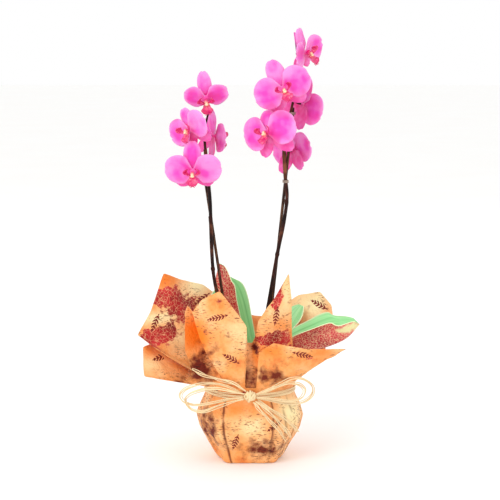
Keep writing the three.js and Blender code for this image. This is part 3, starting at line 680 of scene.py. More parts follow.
def stem_finish():
    """Woody green flower stem stained near black: smooth, with painted brown highlights in patches and fine
    lengthwise lines.
    """
    finish = new_finish("dark_flower_stem")
    point = add_node(finish, "TexCoord").outputs["Object"]
    parts = add_node(finish, "SeparateXYZ", {"Vector": point})
    # Lines about 1 mm wide and 25 mm long over patches about 22 mm across, the palest a painted brown
    # highlight
    stretched = add_node(finish, "Mapping", {"Vector": point, "Scale": (900.0, 900.0, 40.0)})
    grain = add_node(finish, "TexNoise", {"Vector": stretched, "Scale": 1.0, "Detail": 3.0})
    patches = add_node(finish, "TexNoise", {"Vector": point, "Scale": 45.0, "Detail": 2.0})
    ground = add_node(finish, "ValToRGB", {"Fac": patches}, [
        (0.38, "180706"), (0.56, "3A170E"), (0.74, "8A5236")])
    lined = tinted(finish, ground, [(0.5, None, grain.outputs["Color"])], "MULTIPLY")
    # The young tip is flushed pink
    colour = tinted(finish, lined, [(parts.outputs["Z"], (0.574, 0.586, 0, 1), "E070BC")])
    return shade(finish, colour, [(grain, 0.3, 0.3)], {"Roughness": 0.45, "Specular IOR Level": 0.15})


def stake_finish():
    """Bamboo cane dyed brown: drier than the stem, with long pale fibres."""
    finish = new_finish("dyed_bamboo_cane")
    point = add_node(finish, "TexCoord").outputs["Object"]
    # Fibres about 0.8 mm wide and 40 mm long
    stretched = add_node(finish, "Mapping", {"Vector": point, "Scale": (1300.0, 1300.0, 25.0)})
    fibre = add_node(finish, "TexNoise", {"Vector": stretched, "Scale": 1.0, "Detail": 2.0})
    ground = add_node(finish, "ValToRGB", {"Fac": fibre}, [
        (0.3, "1C0A06"), (0.55, "3A1C10"), (0.75, "A8764C")])
    return shade(finish, ground, [(fibre, 0.3, 0.3)], {"Roughness": 0.55, "Specular IOR Level": 0.2})


def frond_mask(finish, point, frond):
    """A socket that is 1 on one printed fern frond: slanting barbs on both sides of a stalk."""
    x, y, z, turn, half = frond
    local = add_node(finish, "Mapping", {
        "Vector": point, "Location": vec((x, y, z)), "Rotation": (0, -math.radians(turn), 0),
    }, vector_type="TEXTURE")
    parts = add_node(finish, "SeparateXYZ", {"Vector": local})
    found = {"along": parts.outputs["X"], "depth": parts.outputs["Y"], "side": parts.outputs["Z"]}
    # Each row names a value, how it is worked out, and the earlier values and numbers it is worked out from
    for name, operation, *sources in (
        ("away", "ABSOLUTE", "depth"),
        ("aside", "ABSOLUTE", "side"),
        ("square", "MULTIPLY", "along", "along"),
        ("reach", "MULTIPLY_ADD", "square", -FROND["half_width"] / half ** 2 / MM, FROND["half_width"] * MM),
        ("slanted", "MULTIPLY_ADD", "aside", FROND["slant"], "along"),
        ("saw", "PINGPONG", "slanted", FROND["spacing"] / 2 * MM),
        ("barb", "LESS_THAN", "saw", FROND["spacing"] * FROND["barb"] * MM),
        ("stalk", "LESS_THAN", "aside", FROND["stalk"] * MM),
        ("drawn", "MAXIMUM", "barb", "stalk"),
        ("outline", "LESS_THAN", "aside", "reach"),
        ("near", "LESS_THAN", "away", FROND["depth"] * MM),
        ("frond", "MULTIPLY", "drawn", "outline"),
        ("mask", "MULTIPLY", "frond", "near"),
    ):
        inputs = {slot: found.get(source, source) for slot, source in enumerate(sources)}
        found[name] = add_node(finish, "Math", inputs, operation=operation)
    return found["mask"]


def paper_finish(name, wrap, fronds):
    """Satin wrapping paper: a mottled orange wash with painted glow, under printed stains, dark fronds,
    faint strokes and painted shade.
    """
    finish = new_finish(name)
    point = add_node(finish, "TexCoord").outputs["Object"]
    # Per point: cream print, painted glow of light through the sheet, painted shade, red print, and the
    # painted shadow beside the pleats
    shares = {
        key: add_node(finish, "Attribute", attribute_name=key).outputs["Fac"]
        for key in ("cream", "glow", "shade", "red", "fold")
    }
    # Clouds of the wash, about 40 mm across
    wash = add_node(finish, "TexNoise", {"Vector": point, "Scale": 25.0, "Detail": 6.0, "Roughness": 0.62})
    ground = add_node(finish, "ValToRGB", {"Fac": wash}, [
        (0.3, "DC6E30"), (0.44, wrap.paper_wash), (0.58, "FBBA7C"), (0.72, "FDD8A2")])
    # Faint printed strokes about 5 mm long in slanting rows; they form no letters
    rows = add_node(finish, "Mapping", {
        "Vector": point, "Rotation": (0, 0.35, 0), "Scale": (200.0, 200.0, 700.0)})
    strokes = add_node(finish, "TexNoise", {"Vector": rows, "Scale": 1.0, "Detail": 2.0})
    where = add_node(finish, "TexNoise", {"Vector": point, "Scale": 26.0, "Detail": 1.0})
    ink = add_node(finish, "MapRange", {"Value": strokes, "From Min": 0.57, "From Max": 0.63, "To Max": 0.8})
    inked = add_node(finish, "MapRange", {"Value": where, "From Min": 0.46, "From Max": 0.56})
    stroked = add_node(finish, "Math", {0: ink, 1: inked}, operation="MULTIPLY")
    # Cream print, a painted glow of light shining through the sheet, and the strokes
    colour = tinted(finish, ground, [
        (shares["cream"], None, "FCECB4"), (shares["glow"], None, "F87C14"), (stroked, None, "7C3A1C")])
    # Red stains with a ragged edge, broken by a pale net with meshes about 6 mm wide
    warp = add_node(finish, "TexNoise", {"Vector": point, "Scale": 90.0, "Detail": 4.0})
    moved = tinted(finish, point, [(0.016, None, warp.outputs["Color"])], "ADD")
    net = add_node(finish, "TexVoronoi", {"Vector": moved, "Scale": 165.0}, feature="DISTANCE_TO_EDGE")
    reds = add_node(finish, "ValToRGB", {"Fac": where}, [
        (0.36, "D23236"), (0.48, wrap.paper_red), (0.66, "860A12")])
    netted = tinted(finish, reds, [(net, (0.01, 0.05, 0.7, 0), "F6C08C")])
    ragged = add_node(finish, "Math", {0: warp, 1: 1.4, 2: shares["red"]}, operation="MULTIPLY_ADD")
    colour = tinted(finish, colour, [
        (ragged, (0.98, 1.08, 0, 0.97), netted),
        *[(frond_mask(finish, point, frond), None, "7A1E14") for frond in fronds]])
    # Painted shade in folds and hollows, partly brown print, with a broken edge, and a painted shadow line
    # beside each pleat's edge
    broken = add_node(finish, "Math", {0: warp, 1: 2.2, 2: -1.1}, operation="MULTIPLY_ADD")
    stain = add_node(finish, "Math", {0: shares["shade"], 1: broken}, operation="ADD")
    colour = tinted(finish, colour, [
        (stain, (0.24, 0.95, 0, 1), "74341A"), (shares["fold"], None, "6A3014")], "MULTIPLY")
    # Fibre tooth about 1 mm and small creases about 12 mm apart
    tooth = add_node(finish, "TexNoise", {"Vector": point, "Scale": 900.0, "Detail": 2.0})
    creases = add_node(finish, "TexVoronoi", {"Vector": moved, "Scale": 85.0}, feature="DISTANCE_TO_EDGE")
    crease_edge = add_node(finish, "MapRange", {"Value": creases, "From Max": 0.12})
    return shade(finish, colour, [(tooth, 0.15, 0.2), (crease_edge, 0.45, 0.9)], {
        "Roughness": 0.55, "Specular IOR Level": 0.3})


def raffia_finish(wrap):
    """Dry palm fibre: cream ribbon with long brown and pale fibres, matt and ridged."""
    finish = new_finish("dry_raffia_fibre")
    point = add_node(finish, "TexCoord").outputs["Object"]
    grid = add_node(finish, "UVMap")
    # Fibres about 0.2 mm wide, drawn coarser than the real 0.1 mm so that they show
    stretched = add_node(finish, "Mapping", {"Vector": grid, "Scale": (9.0, 3.0, 1.0)})
    fibre = add_node(finish, "TexNoise", {"Vector": stretched, "Scale": 1.0, "Detail": 3.0})
    # Stained lengths about 17 mm long
    lengths = add_node(finish, "TexNoise", {"Vector": point, "Scale": 60.0, "Detail": 2.0})
    ground = add_node(finish, "ValToRGB", {"Fac": fibre}, [
        (0.32, "A67C4C"), (0.45, wrap.raffia_colour), (0.7, "FFEFC8")])
    colour = tinted(finish, ground, [(lengths, (0.52, 0.7, 0, 0.5), "E4BA88")])
    return shade(finish, colour, [(fibre, 0.5, 0.4)], {"Roughness": 0.68, "Sheen Weight": 0.1})


def grained_finish(name, grain, stops, relief, shine):
    """A finish with one grain: the grain's inputs, its colours, its relief and how the surface shines."""
    finish = new_finish(name)
    point = add_node(finish, "TexCoord").outputs["Object"]
    pattern = add_node(finish, "TexNoise", {"Vector": point, **grain})
    colour = add_node(finish, "ValToRGB", {"Fac": pattern}, stops)
    return shade(finish, colour, [(pattern, *relief)] if relief else [], shine)


def pot_finish():
    """Moulded polypropylene: dark grey, slightly glossy, with a moulding grain of under 1 mm."""
    return grained_finish(
        "moulded_polypropylene", {"Scale": 1400.0, "Detail": 2.0}, [(0.3, "2A2A2C"), (0.7, "3C3C3E")],
        (0.1, 0.2), {"Roughness": 0.38})


def clip_finish():
    """Moulded smoky polycarbonate clip: dull brown, glossy, with faint clouds about 2 mm across."""
    return grained_finish(
        "moulded_clip", {"Scale": 500.0}, [(0.3, "6E5A4E"), (0.7, "A08C7C")],
        None, {"Roughness": 0.25, "Coat Weight": 0.2})


def bark_finish():
    """Pine bark: red-brown plates about 4 mm thick, with dark cracks and pale dusty faces, rough and dry."""
    return grained_finish(
        "pine_bark", {"Scale": 240.0, "Detail": 5.0, "Roughness": 0.65},
        [(0.32, "26140C"), (0.5, "5E3A24"), (0.68, "96683F")], (0.8, 1.2), {"Roughness": 0.9})


def floor_finish():
    """Plain pale studio floor, matt."""
    return grained_finish(
        "studio_floor", {"Scale": 3.0}, [(0.2, "FDFCFA"), (0.8, "FEFEFD")],
        None, {"Roughness": 0.9, "Specular IOR Level": 0.1})


def paint(piece, *finishes):
    piece.data.materials.clear()
    for finish in finishes:
        piece.data.materials.append(finish)


# Stage

class AddCamera(bpy.types.Operator):
    """Places the camera at the photograph's distance, height and lens."""

    bl_idname = "orchid.add_camera"
    bl_label = "Camera"

    def execute(self, context):
        deselect()
        start, target = vec(CAMERA["at"]), vec(CAMERA["look"])
        turn = (target - start).to_track_quat("-Z", "Y").to_euler()
        bpy.ops.object.camera_add(location=start, rotation=turn)
        camera = context.object
        camera.name = "photo_camera"
        camera.data.lens = context.scene.orchid_stage.lens
        camera.data.sensor_width = CAMERA["sensor"]
        camera.data.clip_end = CAMERA["clip_end"]
        context.scene.camera = camera
        return {"FINISHED"}


class LightStage(bpy.types.Operator):
    """Lays the pale floor and sets the soft studio lights."""

    bl_idname = "orchid.light_stage"
    bl_label = "Floor and lights"

    def execute(self, context):
        settings = context.scene.orchid_stage
        deselect()
        bpy.ops.mesh.primitive_plane_add(size=FLOOR["size"], location=(0, 0, FLOOR["height"]))
        floor = context.object
        floor.name = "floor"
        paint(floor, floor_finish())
        for name, table in LAMPS.items():
            turn = (Vector(LAMPS_AIM) - Vector(table["at"])).to_track_quat("-Z", "Y").to_euler()
            bpy.ops.object.light_add(type="AREA", location=table["at"], rotation=turn)
            lamp = context.object
            lamp.name = name
            lamp.data.energy = getattr(settings, table["power"])
            lamp.data.size = table["size"]
        world = bpy.data.worlds.new("studio_air")
        context.scene.world = world
        world.use_nodes = True
        air = world.node_tree.nodes["Background"].inputs
        air["Color"].default_value = (1, 1, 1, 1)
        air["Strength"].default_value = 1.0
        context.scene.view_settings.view_transform = "Standard"
        return {"FINISHED"}


# Raffia

def strand_route(points):
    """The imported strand's line, begun a little way inside the knot."""
    length = path_length([vec(p) for p in points])
    line = smooth_path(points, max(RIBBON["least_steps"], round(length / MM / RIBBON["step"])))
    return [blend(vec(points[0]), vec(KNOT["at"]), RIBBON["into_knot"]), *line]


def ribbon(name, path, width, drift, phase):
    """One flat fibre ribbon that twists slowly and drifts beside the strand's line."""

    def place(across, along):
        centre, forward = on_path(path, along)
        side = forward.cross(Vector((0, 1, 0))).normalized()
        depth = side.cross(forward).normalized()
        # Both ends of a loop and the near end of a tail stay on the line
        held = min(1, 6 * along, 6 * (1 - along)) if name.startswith("loop") else min(1, 6 * along)
        swing = drift * held
        centre = centre + side * math.sin(along * 7 + phase) * swing
        centre = centre + depth * math.cos(along * 5 + phase * 2) * 0.45 * swing
        twist = 0.5 * math.sin(along * 9 + phase * 3)
        flat = side * math.cos(twist) + depth * math.sin(twist)
        fold = (across - 0.5) ** 2 * width * 0.5
        taper = 1 - 0.5 * max(0, along - 0.85) / 0.15 if "tail" in name else 1
        return centre + flat * (across - 0.5) * width * taper + depth * fold

    piece = shaped_grid(name, 4, len(path) * 2, place)
    thicken(piece, RAFFIA_THICKNESS["ribbon"])
    return piece


class TieRaffiaStrands(bpy.types.Operator):
    """Lays the bow's loops and tails as flat fibre ribbons that leave the knot."""

    bl_idname = "orchid.tie_raffia_strands"
    bl_label = "Raffia loops and tails"

    def execute(self, context):
        wrap = context.scene.orchid_wrap
        width = wrap.raffia_width
        finish = raffia_finish(wrap)
        for number, (name, points) in enumerate(STRANDS.items()):
            path = strand_route(points)
            ribbons = [
                ribbon(f"{name}_{k}", path, width * share, width * drift, number + 2.1 * k)
                for k, (share, drift) in enumerate(RIBBON["shares"])
            ]
            strand = join(f"fibre_{name}", ribbons)
            paint(strand, finish)
            seat(strand, "raffia", f"raffia_{name}")
            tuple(path[0])
            path_length(path)
        return {"FINISHED"}


class WindRaffiaBand(bpy.types.Operator):
    """Winds flat raffia turns round the waist of the paper."""

    bl_idname = "orchid.wind_raffia_band"
    bl_label = "Raffia band"

    def execute(self, context):
        wrap = context.scene.orchid_wrap
        turns = []
        for number in range(BAND["wraps"]):
            low = BAND["low"] + number * BAND["pitch"]
            lift = BAND["lifts"][number % 2]

            def place(across, along, low=low, lift=lift, number=number):
                angle = along * math.tau
                sway = math.sin(angle * 2 + number * 1.9) * 0.8 + math.sin(angle * 5 + number * 2.3) * 0.35
                radius = (BAND["radius"] + lift + 0.25 * math.sin(angle * 7 + number)) * MM
                height = (low + sway) * MM + (across - 0.5) * wrap.raffia_width * BAND["width"]
                return Vector((math.sin(angle) * radius, -math.cos(angle) * radius, height))

            turn = shaped_grid(f"turn_{number}", 3, 120, place)
            edit_whole(turn, bpy.ops.mesh.remove_doubles, threshold=0.01 * MM)
            thicken(turn, RAFFIA_THICKNESS["band"])
            turns.append(turn)
        band = join("raffia_turns", turns)
        paint(band, raffia_finish(wrap))
        seat(band, "raffia", "raffia_band")
        return {"FINISHED"}


class TieRaffiaKnot(bpy.types.Operator):
    """Pulls the raffia knot tight: a ridged body with four turns round it."""

    bl_idname = "orchid.tie_raffia_knot"
    bl_label = "Raffia knot"

    def execute(self, context):
        wrap = context.scene.orchid_wrap
        middle = vec(KNOT["at"])
        half = vec(KNOT["half"])
        body = ball(48, 24)
        for corner in body.data.vertices:
            ridge = 0.93 + 0.03 * math.sin(corner.co.z * 12 + corner.co.x * 3)
            shape = Vector((corner.co.x * half.x, corner.co.y * half.y, corner.co.z * half.z))
            corner.co = middle + shape * ridge
        turns = [body]
        for number, (lean, shift) in enumerate(KNOT["turns"]):
            tilt = Matrix.Rotation(lean, 3, "Y")
            size = KNOT["swell"][0] + KNOT["swell"][1] * number

            def place(across, along, tilt=tilt, shift=shift, size=size):
                angle = along * math.tau
                x = shift * MM + (across - 0.5) * wrap.raffia_width
                ring = Vector((x, -math.cos(angle) * half.y * size, math.sin(angle) * half.z * size))
                return middle + tilt @ ring

            turn = shaped_grid(f"knot_turn_{number}", 4, 60, place)
            edit_whole(turn, bpy.ops.mesh.remove_doubles, threshold=0.01 * MM)
            thicken(turn, RAFFIA_THICKNESS["knot"])
            turns.append(turn)
        knot = join("raffia_bow_knot", turns)
        paint(knot, raffia_finish(wrap))
        seat(knot, "raffia", "raffia_knot")
        return {"FINISHED"}


# Paper

def panel_radius(level, degrees):
    """How far out the sheet lies at an angle: flat in front, round behind."""
    _, radius, front, half = level
    away = abs(degrees - 360 if degrees > 180 else degrees)
    corner = front / math.cos(math.radians(half))
    if away < half:
        return front / math.cos(math.radians(away))
    return blend(corner, radius, min((away - half) / 24, 1))


def fold_line(levels, fold):
    """The points of one fold, from the middle of the base up to its rim."""
    degrees, rim, bow = fold
    angle = math.radians(degrees)
    outward = Vector((math.sin(angle), -math.cos(angle), 0))
    lower = [outward * panel_radius(level, degrees) + Vector((0, 0, level[0])) for level in levels]
    middle, base_rows = Vector((0, 0, levels[0][0])), SHEET["base_rows"]
    line = [middle.lerp(lower[0], row / base_rows) for row in range(base_rows)]
    for low, high in zip(lower, lower[1:]):
        steps = max(1, round((high - low).length / SHEET["side"] * SHEET["side_rows"]))
        line += [low.lerp(high, step / steps) for step in range(steps)]
    for row in range(SHEET["flare_rows"] + 1):
        t = row / SHEET["flare_rows"]
        line.append(lower[-1].lerp(Vector(rim), t) + outward * bow * math.sin(math.pi * t))
    return line


def wash_share(point, patches):
    """How strongly a point of the sheet lies in the listed washes; 0 is outside them all."""
    best = 0.0
    for x, y, z, wide, deep, high, strength in patches:
        away = ((point.x - x) / wide) ** 2 + ((point.y - y) / deep) ** 2 + ((point.z - z) / high) ** 2
        best = max(best, strength * math.exp(-away * 0.9))
    return best


def pleat_lift(point):
    """How far the lower wrap's pleats lift a point, and how dark the painted shadow line beside their edges
    is.
    """
    angle = math.degrees(math.atan2(point.x, -point.y))
    down = clamp((TIE["low"] - 2 - point.z) / 95)
    lift, line = 0.0, 0.0
    for start, lean, width, depth, dark in PLEATS:
        away = ((angle - start - lean * down + 180) % 360 - 180) * math.copysign(1, width)
        if -PLEAT_EDGE <= away < 0:
            lift += depth * (1 + away / PLEAT_EDGE)
        elif 0 <= away < abs(width):
            lift += depth * (1 - away / abs(width))
        broken = clamp(0.75 + 1.5 * noise.noise(Vector((start * 0.7, down * 5, 0))))
        # A painted shadow line just beside each pleat's sharp edge
        line = max(line, min(1, dark * broken) * math.exp(-((away + PLEAT_EDGE * 0.7) / 1.1) ** 2))
    hold = clamp((point.z - 1) / 10) * clamp((TIE["low"] - 2 - point.z) / 14)
    return lift * hold, line * clamp((TIE["low"] - point.z) / 8)


def outward_from_axis(point):
    """The level direction away from the pot's axis; none for the flat base."""
    return Vector((point.x, point.y, 0)).normalized() if point.z > 1.5 else Vector((0, 0, 0))


def crumpled(corner, depth):
    """Where a corner of the sheet goes when the paper is creased all over and gathered above the tie."""
    point = corner.co.copy()
    large = 0.2 - abs(noise.noise(point / CREASES["large"]))
    small = 0.18 - abs(noise.noise(point / CREASES["small"] + Vector((5, 2, 8))))
    crease = large * CREASES["large_depth"] + small * CREASES["small_depth"]
    # The base and the tie hold the paper smooth, and the gathers fade away above the tie
    hold = clamp((point.z - 4) / 14) * min(1, 0.15 + abs(point.z - 100) / 30)
    above = point.z - TIE["high"]
    hold *= 1 if above > 0 else CREASES["below_tie"]
    gather = 0
    if above > 0:
        around = math.atan2(point.x, -point.y) * TIE["gathers"]
        gather = 0.9 * math.sin(around) * math.exp(-above / 16) * min(1, above / 6)
    return point + corner.normal * crease * depth * hold + outward_from_axis(point) * gather


def fold_sheet(name, tables, crumple):
    """One paper sheet: a divided plane wrapped under and round the pot, folded, flared and crumpled.

    The sheet is shaped in millimetres and made metres at the end.
    """
    lines = [fold_line(tables["levels"], fold) for fold in tables["folds"]]
    lines.append(lines[0])
    spans = len(lines) - 1
    rows = len(lines[0]) - 1

    def place(across, along):
        column = across * spans
        low = min(int(column + 1e-6), spans - 1)
        row = min(round(along * rows), rows)
        return lines[low][row].lerp(lines[low + 1][row], column - low)

    piece = shaped_grid(name, spans * SHEET["columns"], rows, place)
    edit_whole(piece, bpy.ops.mesh.remove_doubles, threshold=0.01)
    apply_modifier(piece, "Soft folds", "SMOOTH", factor=0.5, iterations=2)
    # The fold attribute holds the painted shadow line beside each pleat's edge
    fold_shadow_layer = piece.data.attributes.new("fold", "FLOAT", "POINT")
    moved = []
    for corner, value in zip(piece.data.vertices, fold_shadow_layer.data):
        place_at = crumpled(corner, crumple / MM)
        if tables["pleated"] and corner.co.z < TIE["low"]:
            lift, value.value = pleat_lift(corner.co)
            place_at += outward_from_axis(corner.co) * lift
        moved.append(place_at)
    for corner, place_at in zip(piece.data.vertices, moved):
        corner.co = place_at
    # The washes: print, a painted glow of light through the sheet, and painted shade
    for key, patches in tables["washes"].items():
        layer = piece.data.attributes.new(key, "FLOAT", "POINT")
        for corner, value in zip(piece.data.vertices, layer.data):
            value.value = wash_share(corner.co, patches)
    for corner in piece.data.vertices:
        corner.co = corner.co * MM
    thicken(piece, SHEET["thickness"])
    sheet = join(name, [piece])
    bpy.ops.object.shade_smooth_by_angle(angle=math.radians(SHEET["sharp"]))
    return sheet


class FoldPapers(bpy.types.Operator):
    """Folds the two printed sheets under and round the pot, up to the tie and out into their peaks."""

    bl_idname = "orchid.fold_papers"
    bl_label = "Wrapping paper"

    def execute(self, context):
        wrap = context.scene.orchid_wrap
        for side, tables in SHEETS.items():
            sheet = fold_sheet(f"{side}_wrapping_sheet", tables, wrap.crumple)
            paint(sheet, paper_finish(f"printed_{side}_paper", wrap, tables["fronds"]))
            seat(sheet, f"{side}_paper", f"{side}_paper")
        return {"FINISHED"}


# Blooms

def bloom_matrix(bloom):
    """Turns a bloom from its own frame, facing the front, to its place on the spike."""
    turn = Matrix.Rotation(math.radians(bloom["turn"]), 4, "Z")
    nod = Matrix.Rotation(math.radians(bloom["nod"]), 4, "X")
    tilt = Matrix.Rotation(-math.radians(bloom["tilt"]), 4, "Y")
    return Matrix.Translation(vec(bloom["at"])) @ turn @ nod @ tilt


def tepal(form, bloom, wave, seed):
    """A petal or sepal grown from the bloom's middle at its clock angle."""
    around = Matrix.Rotation(-math.radians(form["clock"]), 4, "Y")
    length = bloom.get(form["name"], form["length"]) * bloom["size"]
    width = form["width"] * bloom["size"]
    lean = min(bloom["cup"], 0) - form["back"] if "back" in form else bloom["cup"]

    def place(across, along):
        # The rows crowd towards both ends, and the root narrows to a claw
        u = 0.02 + 0.96 * (1 - math.cos(along * math.pi)) / 2
        claw = min(1, 0.45 + 2.2 * u)
        half = max(width / 2 * math.sqrt(1 - (2 * u - 1) ** 2) * claw, 1.2)
        v = 2 * across - 1
        lift = -math.tan(math.radians(lean)) * u * length
        hollow = form["camber"] * v * v * math.sin(math.pi * u)
        # The rim waves and curls back at its end, and a low keel runs along the middle
        rim = max(abs(v), 2 * u - 1) ** 4
        ripple = math.sin(v * 5 + u * 9 + seed + form["seed"]) * rim * min(1, 3 * u)
        ripple *= wave / MM * form["wave"]
        keel = 0.5 * math.exp(-(v * 7) ** 2) * math.sin(math.pi * u)
        curl = 3.2 * max(0, u - 0.75) * rim
        return around @ vec((u * length, lift + hollow + ripple + keel + curl, v * half)) + vec(
            (0, form["depth"], 0))

    piece = shaped_grid(form["name"], form["columns"], 18, place)
    thicken(piece, BLADE)
    return piece


class OpenPetals(bpy.types.Operator):
    """Grows the two petals and three sepals of every bloom, each bloom as one piece."""

    bl_idname = "orchid.open_petals"
    bl_label = "Petals"

    def execute(self, context):
        plant = context.scene.orchid_plant
        petal, sepal = petal_finish(plant), sepal_finish(plant)
        for seed, (name, bloom) in enumerate(BLOOMS.items()):
            blades = [tepal(form, bloom, plant.petal_wave, seed) for form in TEPALS]
            for form, blade in zip(TEPALS, blades):
                paint(blade, sepal if form["name"] == "lateral" else petal)
            hub = ball(20, 12, HUB * MM)
            paint(hub, sepal)
            whole = join(f"open_petals_{name}", [*blades, hub])
            whole.data.transform(bloom_matrix(bloom))
            seat(whole, "petal", f"petals_{name}")
        return {"FINISHED"}


def tongue_line(along):
    """The depth and height of the lip's middle line."""
    return LIP_FRONT - 2 - math.sin(along * 1.9) * LIP["reach"], -3 - along * LIP["drop"]


def lip_tongue():
    """The lip's middle lobe: a keeled tongue that widens, then narrows to its tip."""
    widths = LIP["widths"]

    def place(across, along):
        spot = along * (len(widths) - 1)
        low = min(int(spot), len(widths) - 2)
        share = blend(widths[low], widths[low + 1], 0.5 - 0.5 * math.cos(math.pi * (spot - low)))
        v = 2 * across - 1
        y, z = tongue_line(along)
        return vec((v * share * LIP["half_width"], y - 1.5 * v * v, z + 0.8 * abs(v)))

    piece = shaped_grid("lip_tongue", 12, 20, place)
    thicken(piece, BLADE)
    return piece


def lip_lobe(side):
    """An upright side lobe that curls round the column."""

    def place(across, along):
        reach = 3.4 + 4.6 * math.sin(along * math.pi * 0.8)
        x = side * (1.6 + 5.6 * math.sin(along * 2.4) + 0.6 * reach * across)
        y = LIP_FRONT - 2.5 - along * 3 + blend(0.2, -0.8, across) * reach + math.sin(across * math.pi)
        return vec((x, y, -4 + along * 11 + across * 1.5))

    piece = shaped_grid("lip_lobe", 8, 14, place)
    thicken(piece, BLADE)
    return piece


def lip_whisker(side):
    """One of the two thin curled whiskers at the lip's tip."""
    y, z = tongue_line(1)
    path = smooth_path([(side * x, y + dy, z + dz) for x, dy, dz in LIP["whisker"]], 14)
    return rod("lip_whisker", path, [MM * (0.45 - 0.02 * k) for k in range(len(path))], 2)


class OpenLips(bpy.types.Operator):
    """Grows the lip of every bloom: tongue, side lobes, crest, whiskers and the column over them."""

    bl_idname = "orchid.open_lips"
    bl_label = "Lips"

    def execute(self, context):
        finish = lip_finish(context.scene.orchid_plant)
        cup = ball(20, 12, 3.4 * MM, vec((0, LIP_FRONT - 3.7, -3)))
        column = ball(20, 14)
        for corner in column.data.vertices:
            along = -corner.co.z
            wide = 2.6 if along > 0 else 2.2
            hood = 1.4 * max(0, along) ** 2
            x, y = corner.co.x * wide, LIP_FRONT - 4.2 - along * 4.1
            corner.co = vec((x, y, 0.7 + corner.co.y * 2.3 - hood))
        crest = ball(16, 10)
        for corner in crest.data.vertices:
            notch = 1 + 0.35 * abs(corner.co.x)
            x, y = corner.co.x * 2.7, LIP_FRONT - 7.6 + corner.co.y * 2.2
            corner.co = vec((x, y, -2.2 + corner.co.z * 1.5 * notch))
        model = join("lip_model", [
            cup, column, crest, lip_tongue(), lip_lobe(1), lip_lobe(-1), lip_whisker(1), lip_whisker(-1)])
        warm = model.data.attributes.new("crest", "FLOAT", "POINT")
        crest_at = vec((0, LIP_FRONT - 8.4, -1))
        for corner, value in zip(model.data.vertices, warm.data):
            value.value = math.exp(-((corner.co - crest_at).length / MM / LIP["crest"]) ** 2)
        paint(model, finish)
        for name, bloom in BLOOMS.items():
            select(model)
            bpy.ops.object.duplicate()
            lip = context.object
            lip.name = f"open_lip_{name}"
            lip.data.transform(bloom_matrix(bloom))
            seat(lip, "lip", f"lip_{name}")
        bpy.data.objects.remove(model)
        return {"FINISHED"}


# Leaves

def leaf(name, table, finishes):
    """A leaf folded along its midrib, upper face inside the fold and underside outside it."""
    path = smooth_path(table["midrib"], 200)
    near, far = Vector(table["near"]), Vector(table["far"])

    def place(across, along):
        middle, forward = on_path(path, along)
        v = 2 * across - 1
        side, wing, other = ("near", near, far) if v < 0 else ("far", far, near)
        width = table[f"{side}_half"] * MM * math.sin(math.pi * (0.05 + 0.93 * along) ** 1.5) ** 0.65
        width *= 1 + table.get(f"{side}_tip", 0) * along ** 3
        wing = (wing - forward * wing.dot(forward)).normalized()
        inward = (other - forward * other.dot(forward)).normalized()
        round_keel = (1 - math.exp(-abs(v) * 9)) - abs(v)
        sag = math.sin(abs(v) * math.pi) * 0.03 - 0.02 * round_keel
        return middle + wing * abs(v) * width + inward * sag * width

    piece = shaped_grid(name, 24, 48, place)
    paint(piece, *finishes)
    inside = (near + far).normalized()
    if sum(face.normal.dot(inside) * face.area for face in piece.data.polygons) < 0:
        edit_whole(piece, bpy.ops.mesh.flip_normals)
    thicken(piece, LEAF_THICKNESS, second_material=1)
    return piece


class GrowLeaves(bpy.types.Operator):
    """Grows the four folded leaves from their crown as one piece."""

    bl_idname = "orchid.grow_leaves"
    bl_label = "Leaves"

    def execute(self, context):
        plant = context.scene.orchid_plant
        finishes = (leaf_top_finish(plant), leaf_under_finish(plant))
        leaves = [leaf(f"leaf_{k}", table, finishes) for k, table in enumerate(LEAVES)]
        deselect()
        bpy.ops.mesh.primitive_cylinder_add(
            vertices=32, radius=CROWN["radius"] * MM, depth=(CROWN["high"] - CROWN["low"]) * MM,
            location=vec((CROWN["x"], CROWN["y"], (CROWN["high"] + CROWN["low"]) / 2)))
        crown = context.object
        for corner in crown.data.vertices:
            if corner.co.z < 0:
                corner.co.xy *= CROWN["foot"]
        apply_modifier(crown, "Rounded edge", "BEVEL", width=3 * MM, segments=4)
        paint(crown, finishes[0])
        fan = join("leaf_fan", [*leaves, crown])
        seat(fan, "leaf", "leaf_rosette")
        return {"FINISHED"}


# Stems

def stalk_path(spike, bloom):
    """The line of a flower stalk from its spike to the back of its bloom."""
    turn = bloom_matrix(bloom).to_3x3()
    facing = turn @ Vector((0, -1, 0))
    middle = vec(bloom["at"])
    end = middle - facing * (HUB + GAP) * MM
    bend = middle - facing * (HUB + bloom.get("arch", STEM["arch"])) * MM
    start = at_height(spike, bloom["stem"])
    shares = [step / 18 for step in range(19)]
    return [start * (1 - t) ** 2 + bend * 2 * t * (1 - t) + end * t * t for t in shares]


def stem_radius(point, joints, radius):
    """The stem's radius at a point, swollen a little at each joint."""
    swell = max(math.exp(-(((point.z / MM - joint) / STEM["swell_length"]) ** 2)) for joint in joints)
    return (radius * (1 - 0.12 * math.sin(point.z * 30) ** 2) + STEM["swell"] * swell) * MM


def bract(point, forward, side):
    """A small dry scale that clasps a stem's joint."""
    across_axis = forward.cross(side).normalized()

    def place(across, along):
        angle = (across - 0.5) * math.pi * 1.1
        reach = (BRACT["reach"] + BRACT["flare"] * along) * MM
        height = along * BRACT["length"] * MM * (1 - 0.75 * abs(2 * across - 1) ** 2)
        return point + (side * math.cos(angle) + across_axis * math.sin(angle)) * reach + forward * height

    piece = shaped_grid("bract", 8, 6, place)
    thicken(piece, BRACT["thickness"])
    return piece


